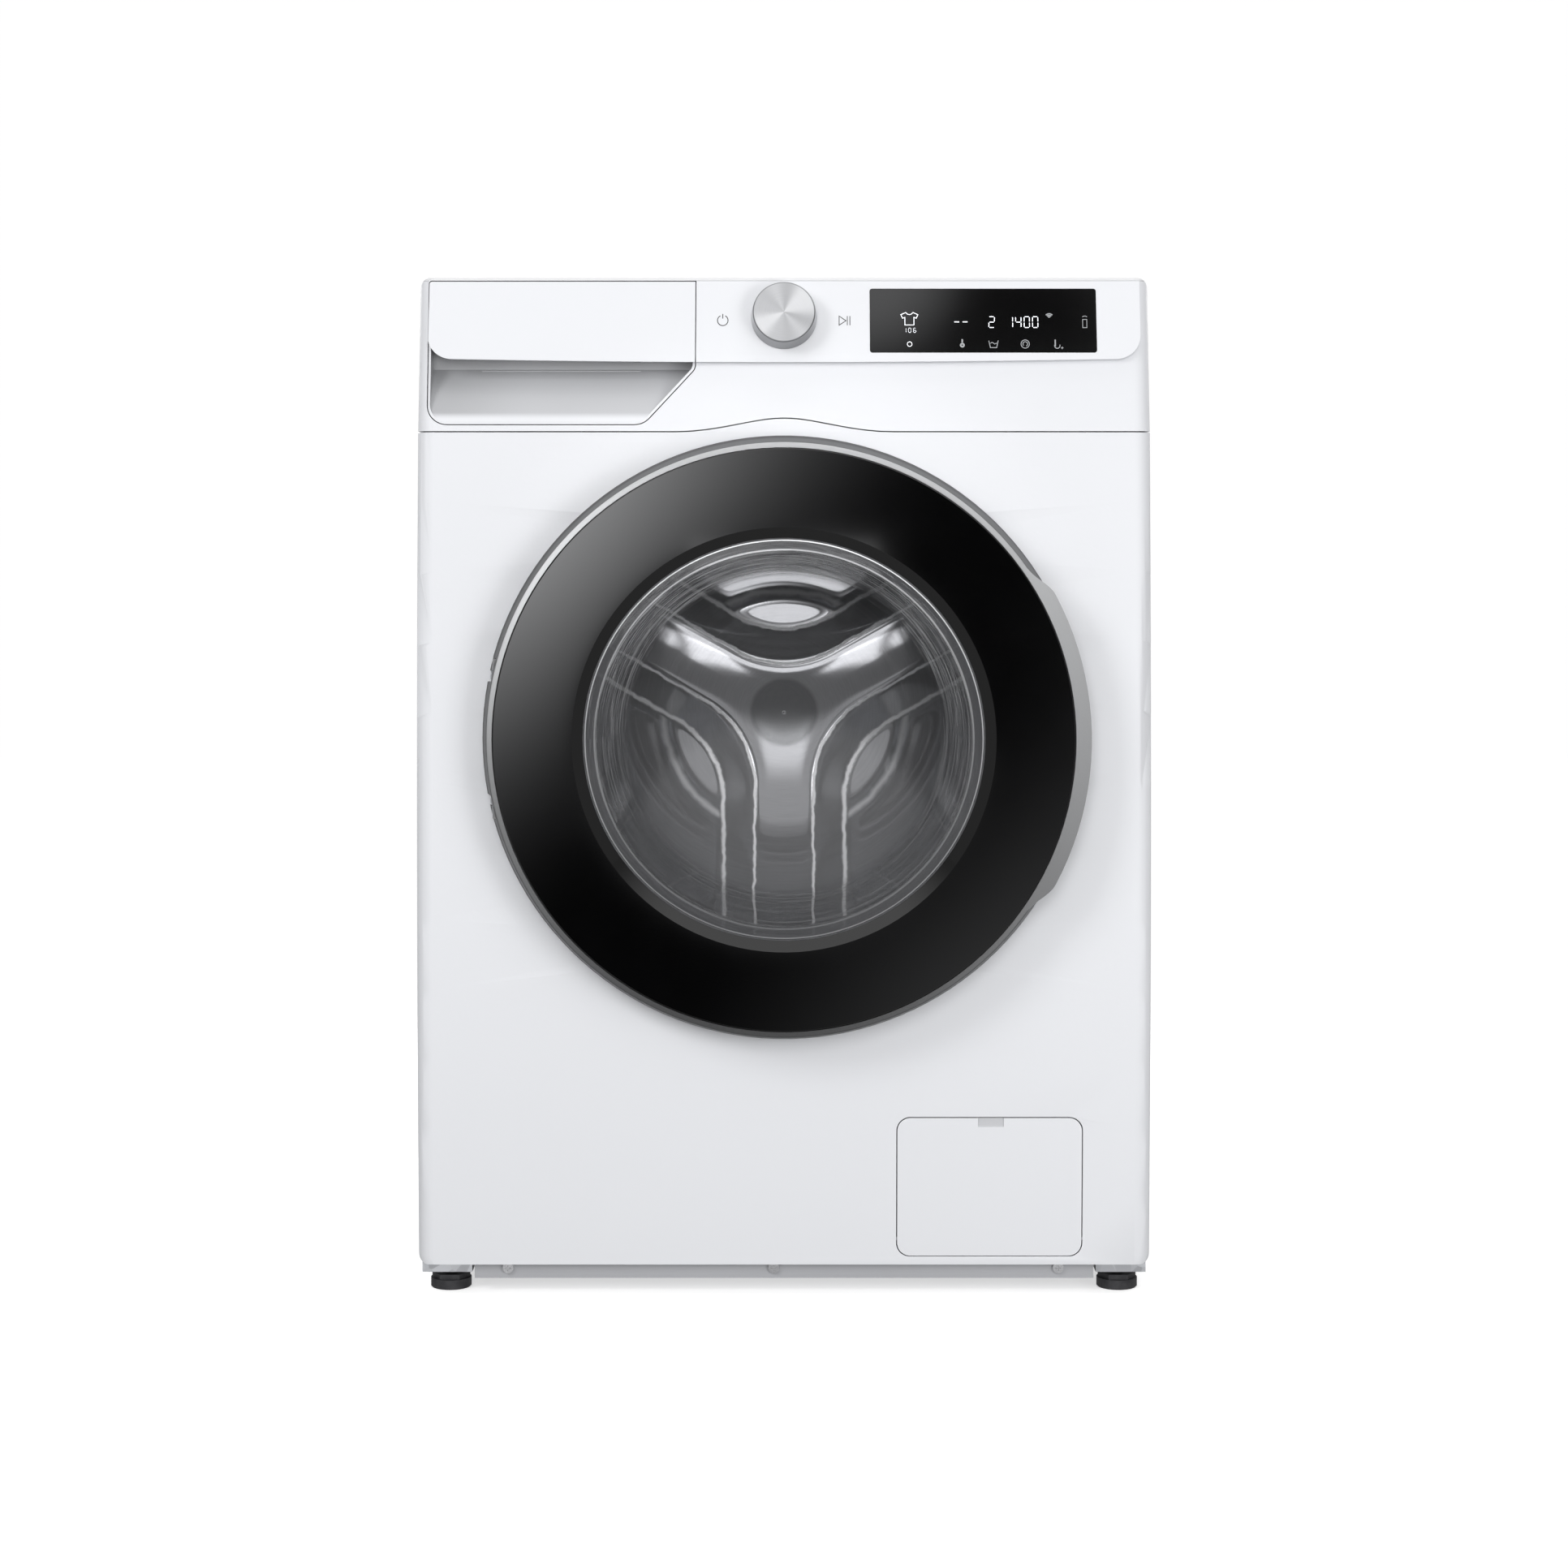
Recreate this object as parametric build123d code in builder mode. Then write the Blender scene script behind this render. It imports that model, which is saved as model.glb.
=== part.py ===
from build123d import *
from math import atan2, cos, degrees, radians, sin, sqrt
import os

os.makedirs("parts", exist_ok=True)

# Front load washing machine, in millimetres.
# The origin is on the floor under the middle, +Z is up and the front faces -Y.

# Outer case
WIDTH = 600
HEIGHT = 832
DEPTH = 596
SHEET = 1.2
PLASTIC = 3
SIDE_X = 298
SIDE_FRONT_Y = -235
REAR_Y = 278
SIDE_BOTTOM_Z = 28
SIDE_TOP_Z = 812
FLANGE = 16
EDGE_RADIUS = 14
CORNER_RADIUS = 9

# Bowed front panel and its seam to the control panel
FRONT_Y = -262
BOW_Z = 410
BOW_RADIUS = 5000
PANEL_BOTTOM_Z = 24
PANEL_BACK_Y = -236
SEAM_Z = 704.5
SEAM_GAP = 1
BUMP_HEIGHT = 11.2
BUMP_HALF = 89

# Leaning fascia with the raised band of the controls
FASCIA_LOW_Y = -253
FASCIA_TOP_Y = -233
FASCIA_TOP_Z = 829.6
FASCIA_BACK_Y = -214
BAND_HALF = 292
BAND_MID_Z = 762
BAND_END_Z = 765
BAND_LOW_Y = -249
BAND_CORNER = 20

# Door, drum and tub share one axis along Y
AXIS_Z = 456.5
DOOR_FRONT_Y = -298
GLASS_R = 234.3
RING_R = 239.4
DOOR_BACK_R = 245
HANDLE_R = 247
BEVEL_R = 170.5
BOWL_R = 160.6
OPENING_R = 172
HINGE_X = -232
HINGE_Y = -285
HINGE_EAR_Z = 50
HINGE_PIN_R = 3
HOOK_X = 208
HOOK_PIVOT_Y = -274

DRUM_R = 240
DRUM_FRONT_Y = -206
DRUM_BACK_Y = 104
TUB_R = 254
TUB_WALL = 6
TUB_FRONT_Y = -218
TUB_BACK_Y = 134
TUB_SPLIT_Y = -40
SHAFT_R = 15
BEARING_R = 31
PULLEY_R = 140
MOTOR_PULLEY_R = 11
MOTOR_X = 95
MOTOR_Z = 118
MOTOR_R = 56
BELT_Y = 204
BELT_WIDTH = 16
RUN_GAP = 0.05

# Detergent drawer
DRAWER_LEFT_X = -291.3
DRAWER_RIGHT_X = -72.8
DRAWER_TOP_Z = 829
DRAWER_BOTTOM_Z = 711.2
DRAWER_GAP = 0.8
HOUSING_Z = (738, 799)
HOUSING_Y = (-213, 45)

# Filter flap and drain pump
FLAP_X = (92.5, 243)
FLAP_Z = (31.5, 145.3)
FLAP_RADIUS = 10.6
FLAP_BARREL_R = 2.6
FLAP_HINGE_Z = 45
FLAP_HINGE_DEPTH = 3.2
PUMP_X = 168
PUMP_Z = 85
PUMP_R = 36

# Suspension of the tub: two springs above and two dampers below
SPRING_X = 266
SPRING_Y = 90
SPRING_R = 13
HANGER_Z = 790
EAR_Z = 602
DAMPER_FOOT_X = 230
DAMPER_TOP_X = 150
DAMPER_Z = (46, 214)

# Feet
FOOT_X = 275
FOOT_Y = (-218, 240)
FOOT_PAD_R = 16.7
FOOT_PAD_H = 12
FOOT_STEM_R = 5

DRUM_AXIS = Axis((0, 0, AXIS_Z), (0, 1, 0))
RADIAL = Plane.XY.offset(AXIS_Z)
BAND_LEAN = atan2(FASCIA_TOP_Y - BAND_LOW_Y, FASCIA_TOP_Z - BAND_MID_Z)


def facing(y):
    """Upright plane at depth y, seen from the front: its normal points to -Y."""
    return Plane.XZ.offset(-y)


def bow_y(z):
    """Depth of the bowed front face at height z."""
    return FRONT_Y + (z - BOW_Z) ** 2 / (2 * BOW_RADIUS)


def polar(radius, angle):
    """Point on the door's face, from its centre, with the angle in degrees from +X."""
    return (radius * cos(radians(angle)), AXIS_Z + radius * sin(radians(angle)))


def heading(angle):
    """Unit direction in the upright plane, with the angle in degrees from +X."""
    return (cos(radians(angle)), sin(radians(angle)))


def band_y(z):
    """Depth of the control band's leaning face at height z."""
    return BAND_LOW_Y + (z - BAND_MID_Z) * (FASCIA_TOP_Y - BAND_LOW_Y) / (FASCIA_TOP_Z - BAND_MID_Z)


def band_plane(x, z):
    """Plane on the control band's face at x and z, with its normal out of the face."""
    normal = (0, -cos(BAND_LEAN), sin(BAND_LEAN))
    return Plane(origin=(x, band_y(z), z), x_dir=(1, 0, 0), z_dir=normal)


def bowed_block(inset, back_y, bottom_z, top_z):
    """Block behind the bowed front face, drawn in by inset and rounded on its upright edges."""
    middle_z = (bottom_z + top_z) / 2
    with BuildPart() as block:
        with BuildSketch(Plane.YZ):
            with BuildLine():
                ThreePointArc(
                    (bow_y(bottom_z) + inset, bottom_z),
                    (bow_y(middle_z) + inset, middle_z),
                    (bow_y(top_z) + inset, top_z),
                )
                Polyline(
                    (bow_y(top_z) + inset, top_z),
                    (back_y, top_z),
                    (back_y, bottom_z),
                    (bow_y(bottom_z) + inset, bottom_z),
                )
            make_face()
        extrude(amount=WIDTH / 2 - inset, both=True)
        fillet(block.edges().filter_by(GeomType.CIRCLE), EDGE_RADIUS - inset)
    return block.part


def below_seam(rise):
    """Sheet of space under the seam with its bump, raised by rise."""
    seam_z = SEAM_Z + rise
    with BuildPart() as space:
        with BuildSketch(facing(-200)):
            with BuildLine():
                Line((-WIDTH, seam_z), (-BUMP_HALF, seam_z))
                Spline(
                    (-BUMP_HALF, seam_z),
                    (0, seam_z + BUMP_HEIGHT),
                    (BUMP_HALF, seam_z),
                    tangents=((1, 0), (1, 0)),
                )
                Polyline((BUMP_HALF, seam_z), (WIDTH, seam_z), (WIDTH, 0), (-WIDTH, 0), (-WIDTH, seam_z))
            make_face()
        extrude(amount=100)
    return space.part


# Base frame: a pressed plate with four corner blocks that take the feet
BASE_Z = (15.5, 22, 28)
BASE_Y = (-236, 276)
BASE_HALF = 297
CORNER_BLOCK = (41, 60)
foot_places = [(x, y, 0) for x in (-FOOT_X, FOOT_X) for y in FOOT_Y]
base_middle_y = sum(BASE_Y) / 2
base_depth = BASE_Y[1] - BASE_Y[0]
with BuildPart() as base_frame:
    with BuildSketch(Plane.XY.offset(BASE_Z[1])):
        with Locations((0, base_middle_y)):
            Rectangle(2 * BASE_HALF, base_depth)
            RectangleRounded(430, 330, 20, mode=Mode.SUBTRACT)
    extrude(amount=BASE_Z[2] - BASE_Z[1])
    with BuildSketch(Plane.XY.offset(BASE_Z[0])):
        with Locations((0, base_middle_y)):
            with GridLocations(2 * BASE_HALF - CORNER_BLOCK[0], base_depth - CORNER_BLOCK[1], 2, 2):
                Rectangle(*CORNER_BLOCK)
    extrude(amount=BASE_Z[1] - BASE_Z[0])
    with Locations(*[(x, 0, BASE_Z[2] + 4) for x in (-DAMPER_FOOT_X, DAMPER_FOOT_X)]):
        Box(26, 24, 8)
    with Locations(*foot_places):
        Cylinder(FOOT_STEM_R + 0.6, 100, mode=Mode.SUBTRACT)
base_frame.part.label = "base_frame"
export_step(base_frame.part, "parts/base_frame.step")

# Four screw feet: a wide pad under a stem, with a hexagonal waist for a spanner
STEM_TOP_Z = 46
foot_names = ("foot_front_left", "foot_rear_left", "foot_front_right", "foot_rear_right")
for place, foot_name in zip(foot_places, foot_names):
    with BuildPart() as foot:
        with BuildSketch(Plane.XY):
            with Locations(place[:2]):
                Circle(FOOT_PAD_R)
        extrude(amount=FOOT_PAD_H - 4)
        chamfer(foot.faces().sort_by(Axis.Z)[0].edges(), 1)
        with BuildSketch(Plane.XY.offset(FOOT_PAD_H - 4)):
            with Locations(place[:2]):
                RegularPolygon(FOOT_PAD_R - 1, 6)
        extrude(amount=4)
        with BuildSketch(Plane.XY.offset(FOOT_PAD_H)):
            with Locations(place[:2]):
                Circle(FOOT_STEM_R)
        extrude(amount=STEM_TOP_Z - FOOT_PAD_H)
    foot.part.label = foot_name
    export_step(foot.part, f"parts/{foot_name}.step")

# Side panels: steel sheets with flanges turned in, each with a bracket for a suspension spring
side_depth = REAR_Y - SIDE_FRONT_Y
side_height = SIDE_TOP_Z - SIDE_BOTTOM_Z
side_middle = ((SIDE_FRONT_Y + REAR_Y) / 2, (SIDE_BOTTOM_Z + SIDE_TOP_Z) / 2)
for side, panel_name in ((-1, "left_side_panel"), (1, "right_side_panel")):
    with BuildPart() as side_panel:
        with Locations((side * (SIDE_X - FLANGE / 2), *side_middle)):
            Box(FLANGE, side_depth, side_height)
        with Locations((side * (SIDE_X - SHEET - FLANGE / 2), *side_middle)):
            Box(FLANGE, side_depth - 2 * SHEET, side_height - 2 * SHEET, mode=Mode.SUBTRACT)
        with Locations((side * (SIDE_X - SHEET - 22), SPRING_Y, HANGER_Z + 2)):
            Box(44, 24, 4)
        with Locations((side * SIDE_X, FASCIA_BACK_Y + 0.5 - 50, SEAM_Z - 6 + 100)):
            Box(100, 100, 200, mode=Mode.SUBTRACT)
    side_panel.part.label = panel_name
    export_step(side_panel.part, f"parts/{panel_name}.step")

# Two crossbars under the top cover
CROSSBAR = (2 * (SIDE_X - SHEET), 28, 10)
with BuildPart() as crossbars:
    for bar_y in (-190, REAR_Y - SHEET - CROSSBAR[1] / 2):
        with Locations((0, bar_y, SIDE_TOP_Z - SHEET - CROSSBAR[2] / 2)):
            Box(*CROSSBAR)
            with Locations((0, 0, -1.5)):
                Box(CROSSBAR[0], CROSSBAR[1] - 3, CROSSBAR[2] - 1.5, mode=Mode.SUBTRACT)
crossbars.part.label = "crossbars"
export_step(crossbars.part, "parts/crossbars.step")

# Rear panel with its service opening and the holes of what passes through it
SERVICE = (330, 320, 30)
VALVE_PLACE = (-120, 770)
DRAIN_PLACE = (262, 640)
GLAND_PLACE = (-235, 120)
CAP_PLACES = [(x, z) for x in (-205, 205) for z in (313, 600)]
CAP_R = 12
GLAND_R = 8
VALVE_R = 15
DRAIN_R = 11
with BuildPart() as rear_panel:
    with BuildSketch(facing(REAR_Y + SHEET)):
        with Locations((0, side_middle[1])):
            Rectangle(2 * SIDE_X - 2, side_height)
        with Locations((0, AXIS_Z)):
            RectangleRounded(*SERVICE, mode=Mode.SUBTRACT)
        with Locations(VALVE_PLACE):
            Circle(VALVE_R + 0.5, mode=Mode.SUBTRACT)
        with Locations(DRAIN_PLACE):
            Circle(DRAIN_R + 0.5, mode=Mode.SUBTRACT)
        with Locations(GLAND_PLACE):
            Circle(GLAND_R, mode=Mode.SUBTRACT)
        with Locations(*CAP_PLACES):
            Circle(CAP_R, mode=Mode.SUBTRACT)
    extrude(amount=SHEET)
rear_panel.part.label = "rear_panel"
export_step(rear_panel.part, "parts/rear_panel.step")

# Rear service cover: a dished sheet over the belt drive
COVER_RIM = 14
COVER_DISH = 9
cover_y = REAR_Y + SHEET
with BuildPart() as rear_cover:
    with BuildSketch(facing(cover_y + SHEET)):
        with Locations((0, AXIS_Z)):
            RectangleRounded(SERVICE[0] + 2 * COVER_RIM, SERVICE[1] + 2 * COVER_RIM, SERVICE[2])
    extrude(amount=SHEET)
    with BuildSketch(facing(cover_y + COVER_DISH)):
        with Locations((0, AXIS_Z)):
            RectangleRounded(*SERVICE)
    extrude(amount=COVER_DISH)
    fillet(rear_cover.faces().sort_by(Axis.Y)[-1].edges(), 5)
    with BuildSketch(facing(cover_y + COVER_DISH - SHEET)):
        with Locations((0, AXIS_Z)):
            RectangleRounded(SERVICE[0] - COVER_RIM, SERVICE[1] - COVER_RIM, SERVICE[2] - COVER_RIM / 2)
    extrude(amount=COVER_DISH - SHEET, mode=Mode.SUBTRACT)
rear_cover.part.label = "rear_cover"
export_step(rear_cover.part, "parts/rear_cover.step")

# Caps over the four transit bolt holes
with BuildPart() as transit_caps:
    with BuildSketch(facing(cover_y)):
        with Locations(*CAP_PLACES):
            Circle(CAP_R - 0.2)
    extrude(amount=8)
    with BuildSketch(facing(cover_y + 4)):
        with Locations(*CAP_PLACES):
            Circle(CAP_R + 5)
    extrude(amount=4)
    fillet(transit_caps.faces().sort_by(Axis.Y)[-4:].edges(), 2)
transit_caps.part.label = "transit_caps"
export_step(transit_caps.part, "parts/transit_caps.step")

# Gland for the mains cord
with BuildPart() as cable_gland:
    with BuildSketch(facing(cover_y)):
        with Locations(GLAND_PLACE):
            Circle(GLAND_R - 0.2)
            Circle(4.2, mode=Mode.SUBTRACT)
    extrude(amount=10)
    with BuildSketch(facing(cover_y + 8)):
        with Locations(GLAND_PLACE):
            RegularPolygon(GLAND_R + 4, 6)
            Circle(4.2, mode=Mode.SUBTRACT)
    extrude(amount=8)
cable_gland.part.label = "cable_gland"
export_step(cable_gland.part, "parts/cable_gland.step")

# Front rail under the front panel
RAIL_HALF = 253.6
RAIL_Z = (11.7, 21.8)
RAIL_Y = (-241, -236)
with BuildPart() as front_rail:
    with BuildSketch(facing(RAIL_Y[1])):
        with Locations((0, (RAIL_Z[0] + BASE_Z[2]) / 2)):
            Rectangle(2 * RAIL_HALF, BASE_Z[2] - RAIL_Z[0])
    extrude(amount=RAIL_Y[1] - RAIL_Y[0])
    with Locations((0, RAIL_Y[1] + 10, (RAIL_Z[0] + RAIL_Z[1]) / 2)):
        Box(2 * RAIL_HALF, 20, RAIL_Z[1] - RAIL_Z[0])
    with Locations((0, RAIL_Y[1] + 10, RAIL_Z[0] + 1 + (RAIL_Z[1] - RAIL_Z[0]) / 2)):
        Box(2 * RAIL_HALF - 2, 19, RAIL_Z[1] - RAIL_Z[0], mode=Mode.SUBTRACT)
front_rail.part.label = "front_rail"
export_step(front_rail.part, "parts/front_rail.step")

# Case screws: three on the front rail and eight round the rear cover
SCREW_HEAD = 2.5
RAIL_SCREWS = [(x, 20.5) for x in (-226, -8.3, 224.5)]
COVER_SCREWS = [(x, AXIS_Z + z) for x in (-172, 0, 172) for z in (-167, 0, 167) if (x, z) != (0, 0)]
with BuildPart() as case_screws:
    for head_y, places in ((RAIL_Y[0], RAIL_SCREWS), (cover_y + SHEET + SCREW_HEAD, COVER_SCREWS)):
        with BuildSketch(facing(head_y)):
            with Locations(*places):
                Circle(4.5)
        extrude(amount=SCREW_HEAD)
    for slot_y, places in ((RAIL_Y[0] - 1.4, RAIL_SCREWS), (cover_y + SHEET + SCREW_HEAD, COVER_SCREWS)):
        with BuildSketch(facing(slot_y)):
            with Locations(*places):
                Rectangle(5, 1)
                Rectangle(1, 5)
        extrude(amount=1.1, mode=Mode.SUBTRACT)
case_screws.part.label = "case_screws"
export_step(case_screws.part, "parts/case_screws.step")

# Front panel: a bowed steel shell with the door opening and its rolled lip, and holes for flap, hook and hinge
FLAP_GAP = 0.9
FLAP_MIDDLE = (sum(FLAP_X) / 2, sum(FLAP_Z) / 2)
FLAP_SIZE = (FLAP_X[1] - FLAP_X[0], FLAP_Z[1] - FLAP_Z[0])
HOOK_SLOT = (14, 36)
HINGE_SLOT = (12, 9)
LIP_BACK_Y = -243
LIP_WALL = 2
panel_block = bowed_block(0, PANEL_BACK_Y, PANEL_BOTTOM_Z, SEAM_Z + 2 * BUMP_HEIGHT)
panel_hollow = bowed_block(SHEET, PANEL_BACK_Y + 10, PANEL_BOTTOM_Z - 10, SEAM_Z + 3 * BUMP_HEIGHT)
under_seam = below_seam(0)
with BuildPart() as panel_core:
    add(panel_hollow)
    with BuildSketch(facing(LIP_BACK_Y)):
        with Locations((0, AXIS_Z)):
            Circle(OPENING_R + LIP_WALL)
            Circle(OPENING_R - LIP_WALL, mode=Mode.SUBTRACT)
    extrude(amount=40, mode=Mode.SUBTRACT)
with BuildPart() as front_panel:
    add(panel_block)
    add(panel_core.part, mode=Mode.SUBTRACT)
    add(under_seam, mode=Mode.INTERSECT)
    with BuildSketch(facing(PANEL_BACK_Y + 20)):
        with Locations((0, PANEL_BOTTOM_Z + HEIGHT / 2)):
            RectangleRounded(WIDTH, HEIGHT, CORNER_RADIUS)
    extrude(amount=60, mode=Mode.INTERSECT)
    with BuildSketch(facing(PANEL_BACK_Y + 20)):
        with Locations((0, AXIS_Z)):
            Circle(OPENING_R)
        with Locations(FLAP_MIDDLE):
            RectangleRounded(FLAP_SIZE[0] + 2 * FLAP_GAP, FLAP_SIZE[1] + 2 * FLAP_GAP, FLAP_RADIUS + FLAP_GAP)
        with Locations((HOOK_X, AXIS_Z)):
            Rectangle(*HOOK_SLOT)
        with Locations((HINGE_X, AXIS_Z - HINGE_EAR_Z), (HINGE_X, AXIS_Z + HINGE_EAR_Z)):
            Rectangle(*HINGE_SLOT)
    extrude(amount=60, mode=Mode.SUBTRACT)
front_panel.part.label = "front_panel"
export_step(front_panel.part, "parts/front_panel.step")

# Solid form of the fascia: a leaning block with the proud band of the controls on it
fascia_slope = (FASCIA_TOP_Y - FASCIA_LOW_Y) / (FASCIA_TOP_Z - SEAM_Z)
FASCIA_FOOT_Z = SEAM_Z - 5
BAND_ROOT_Y = -232


def leaning_block(inset, back_y, foot_z, top_z):
    """Block behind the leaning fascia, drawn in by inset and rounded on its upright edges."""
    foot_y = FASCIA_LOW_Y + (foot_z - SEAM_Z) * fascia_slope + inset
    top_y = FASCIA_LOW_Y + (top_z - SEAM_Z) * fascia_slope + inset
    with BuildPart() as block:
        with BuildSketch(Plane.YZ):
            with BuildLine():
                Polyline((foot_y, foot_z), (top_y, top_z), (back_y, top_z), (back_y, foot_z), close=True)
            make_face()
        extrude(amount=WIDTH / 2 - inset, both=True)
        front_face = block.faces().sort_by(Axis.Y)[0]
        upright = front_face.edges().sort_by(Axis.X)
        fillet([upright[0], upright[-1]], EDGE_RADIUS - inset)
    return block.part


with BuildSketch(facing(-200)) as band_outline:
    with BuildLine():
        ThreePointArc((-BAND_HALF, BAND_END_Z), (0, BAND_MID_Z), (BAND_HALF, BAND_END_Z))
        Polyline(
            (BAND_HALF, BAND_END_Z),
            (BAND_HALF, HEIGHT),
            (-BAND_HALF, HEIGHT),
            (-BAND_HALF, BAND_END_Z),
        )
    make_face()
    fillet(band_outline.vertices().sort_by(Axis.Y)[:2], BAND_CORNER)
band_shape = band_outline.sketch
with BuildPart() as band:
    with BuildSketch(Plane.YZ):
        with BuildLine():
            Polyline(
                (band_y(BAND_MID_Z - 4), BAND_MID_Z - 4),
                (FASCIA_TOP_Y, FASCIA_TOP_Z),
                (FASCIA_BACK_Y, FASCIA_TOP_Z),
                (BAND_ROOT_Y, BAND_MID_Z - 4),
                close=True,
            )
        make_face()
    extrude(amount=BAND_HALF, both=True)
    extrude(band_shape, amount=80, mode=Mode.INTERSECT)

fascia_block = leaning_block(0, FASCIA_BACK_Y, FASCIA_FOOT_Z, FASCIA_TOP_Z)
fascia_hollow = leaning_block(PLASTIC, FASCIA_BACK_Y + 10, FASCIA_FOOT_Z - 10, FASCIA_TOP_Z - PLASTIC)
under_fascia = below_seam(SEAM_GAP)
with BuildPart() as fascia:
    add(fascia_block)
    add(band.part)
    with BuildSketch(facing(FASCIA_BACK_Y + 10)):
        with Locations((0, HEIGHT / 2)):
            RectangleRounded(WIDTH, HEIGHT, CORNER_RADIUS)
    extrude(amount=80, mode=Mode.INTERSECT)


def drawer_outline(grow):
    """Outline of the drawer's front in the upright plane, grown by grow."""
    with BuildSketch(facing(FASCIA_BACK_Y + 10)) as outline:
        with BuildLine():
            Polyline(
                (DRAWER_LEFT_X, DRAWER_TOP_Z),
                (DRAWER_RIGHT_X, DRAWER_TOP_Z),
                (DRAWER_RIGHT_X, 757),
                (DRAWER_RIGHT_X - 42.2, DRAWER_BOTTOM_Z),
                (DRAWER_LEFT_X, DRAWER_BOTTOM_Z),
                close=True,
            )
        make_face()
        corners = outline.vertices().sort_by(Axis.Y)
        fillet(corners[:2], 16)
        fillet(outline.vertices().sort_by(Axis.Y).sort_by(Axis.X)[-2:].sort_by(Axis.Y)[:1], 9)
        fillet(outline.vertices().group_by(Axis.Y)[-1].sort_by(Axis.X)[:1], 2)
        if grow:
            offset(amount=grow)
    return outline.sketch


# Control panel: the fascia's shell, open for the drawer, with the display's recess and the knob's bore
DISPLAY_X = (70.4, 256)
DISPLAY_Z = (770, 823)
DISPLAY_DEPTH = 1.6
KNOB_Z = 799
KNOB_SHAFT_R = 3
display_middle = (sum(DISPLAY_X) / 2, sum(DISPLAY_Z) / 2)
display_face = band_plane(*display_middle)
display_size = (DISPLAY_X[1] - DISPLAY_X[0], (DISPLAY_Z[1] - DISPLAY_Z[0]) / cos(BAND_LEAN))
knob_face = band_plane(0, KNOB_Z)
drawer_hole = drawer_outline(DRAWER_GAP)
drawer_shape = drawer_outline(0)
with BuildPart() as control_panel:
    add(fascia.part)
    add(fascia_hollow, mode=Mode.SUBTRACT)
    add(under_fascia, mode=Mode.SUBTRACT)
    extrude(drawer_hole, amount=80, mode=Mode.SUBTRACT)
    with BuildSketch(display_face):
        RectangleRounded(display_size[0] + 0.4, display_size[1] + 0.4, 2.2)
    extrude(amount=-DISPLAY_DEPTH, mode=Mode.SUBTRACT)
    with BuildSketch(knob_face):
        Circle(KNOB_SHAFT_R + RUN_GAP)
    extrude(amount=-30, both=True, mode=Mode.SUBTRACT)
control_panel.part.label = "control_panel"
export_step(control_panel.part, "parts/control_panel.step")

# Display window let into the band
with BuildPart() as display_window:
    with BuildSketch(display_face):
        RectangleRounded(*display_size, 2)
    extrude(amount=-DISPLAY_DEPTH)
display_window.part.label = "display_window"
export_step(display_window.part, "parts/display_window.step")

# Control board behind the band
with BuildPart() as control_board:
    with BuildSketch(display_face.offset(-16)):
        RectangleRounded(display_size[0] + 24, display_size[1] - 4, 3)
    extrude(amount=-1.6)
    with BuildSketch(display_face.offset(-17.6)):
        with GridLocations(60, 26, 3, 2):
            Rectangle(26, 14)
    extrude(amount=-7)
control_board.part.label = "control_board"
export_step(control_board.part, "parts/control_board.step")

# Program knob: a turned cap on its shaft, just clear of the band
KNOB_BASE_R = 27
KNOB_FACE_R = 25.6
KNOB_HEIGHT = 16
with BuildPart() as program_knob:
    with BuildSketch(knob_face.offset(0.5)):
        Circle(KNOB_BASE_R)
    with BuildSketch(knob_face.offset(KNOB_HEIGHT)):
        Circle(KNOB_FACE_R)
    loft()
    fillet(program_knob.edges().filter_by(GeomType.CIRCLE).sort_by(Axis.Y)[0], 1.2)
    with BuildSketch(knob_face.offset(0.5)):
        Circle(KNOB_SHAFT_R)
    extrude(amount=-14)
program_knob.part.label = "program_knob"
export_step(program_knob.part, "parts/program_knob.step")

# Top cover: a board with a thin lip over the fascia
LIP_Z = 829.8
TOP_BACK_Y = 282
with BuildPart() as top_cover:
    with BuildSketch(Plane.XY.offset(LIP_Z)) as lid:
        with Locations((0, (FASCIA_TOP_Y + TOP_BACK_Y) / 2)):
            Rectangle(WIDTH, TOP_BACK_Y - FASCIA_TOP_Y)
        fillet(lid.vertices().group_by(Axis.Y)[0], EDGE_RADIUS)
    extrude(amount=HEIGHT - LIP_Z)
    skirt_front_y = FASCIA_BACK_Y + 0.5
    with Locations((0, (skirt_front_y + TOP_BACK_Y) / 2, (SIDE_TOP_Z + LIP_Z) / 2)):
        Box(WIDTH, TOP_BACK_Y - skirt_front_y, LIP_Z - SIDE_TOP_Z)
    with Locations((0, (skirt_front_y + TOP_BACK_Y) / 2, (SIDE_TOP_Z + LIP_Z) / 2 - PLASTIC)):
        Box(WIDTH - 8, TOP_BACK_Y - skirt_front_y - 8, LIP_Z - SIDE_TOP_Z, mode=Mode.SUBTRACT)
    with BuildSketch(facing(TOP_BACK_Y + 1)):
        with Locations((0, HEIGHT / 2)):
            RectangleRounded(WIDTH, HEIGHT, CORNER_RADIUS)
    extrude(amount=WIDTH, mode=Mode.INTERSECT)
top_cover.part.label = "top_cover"
export_step(top_cover.part, "parts/top_cover.step")

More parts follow.
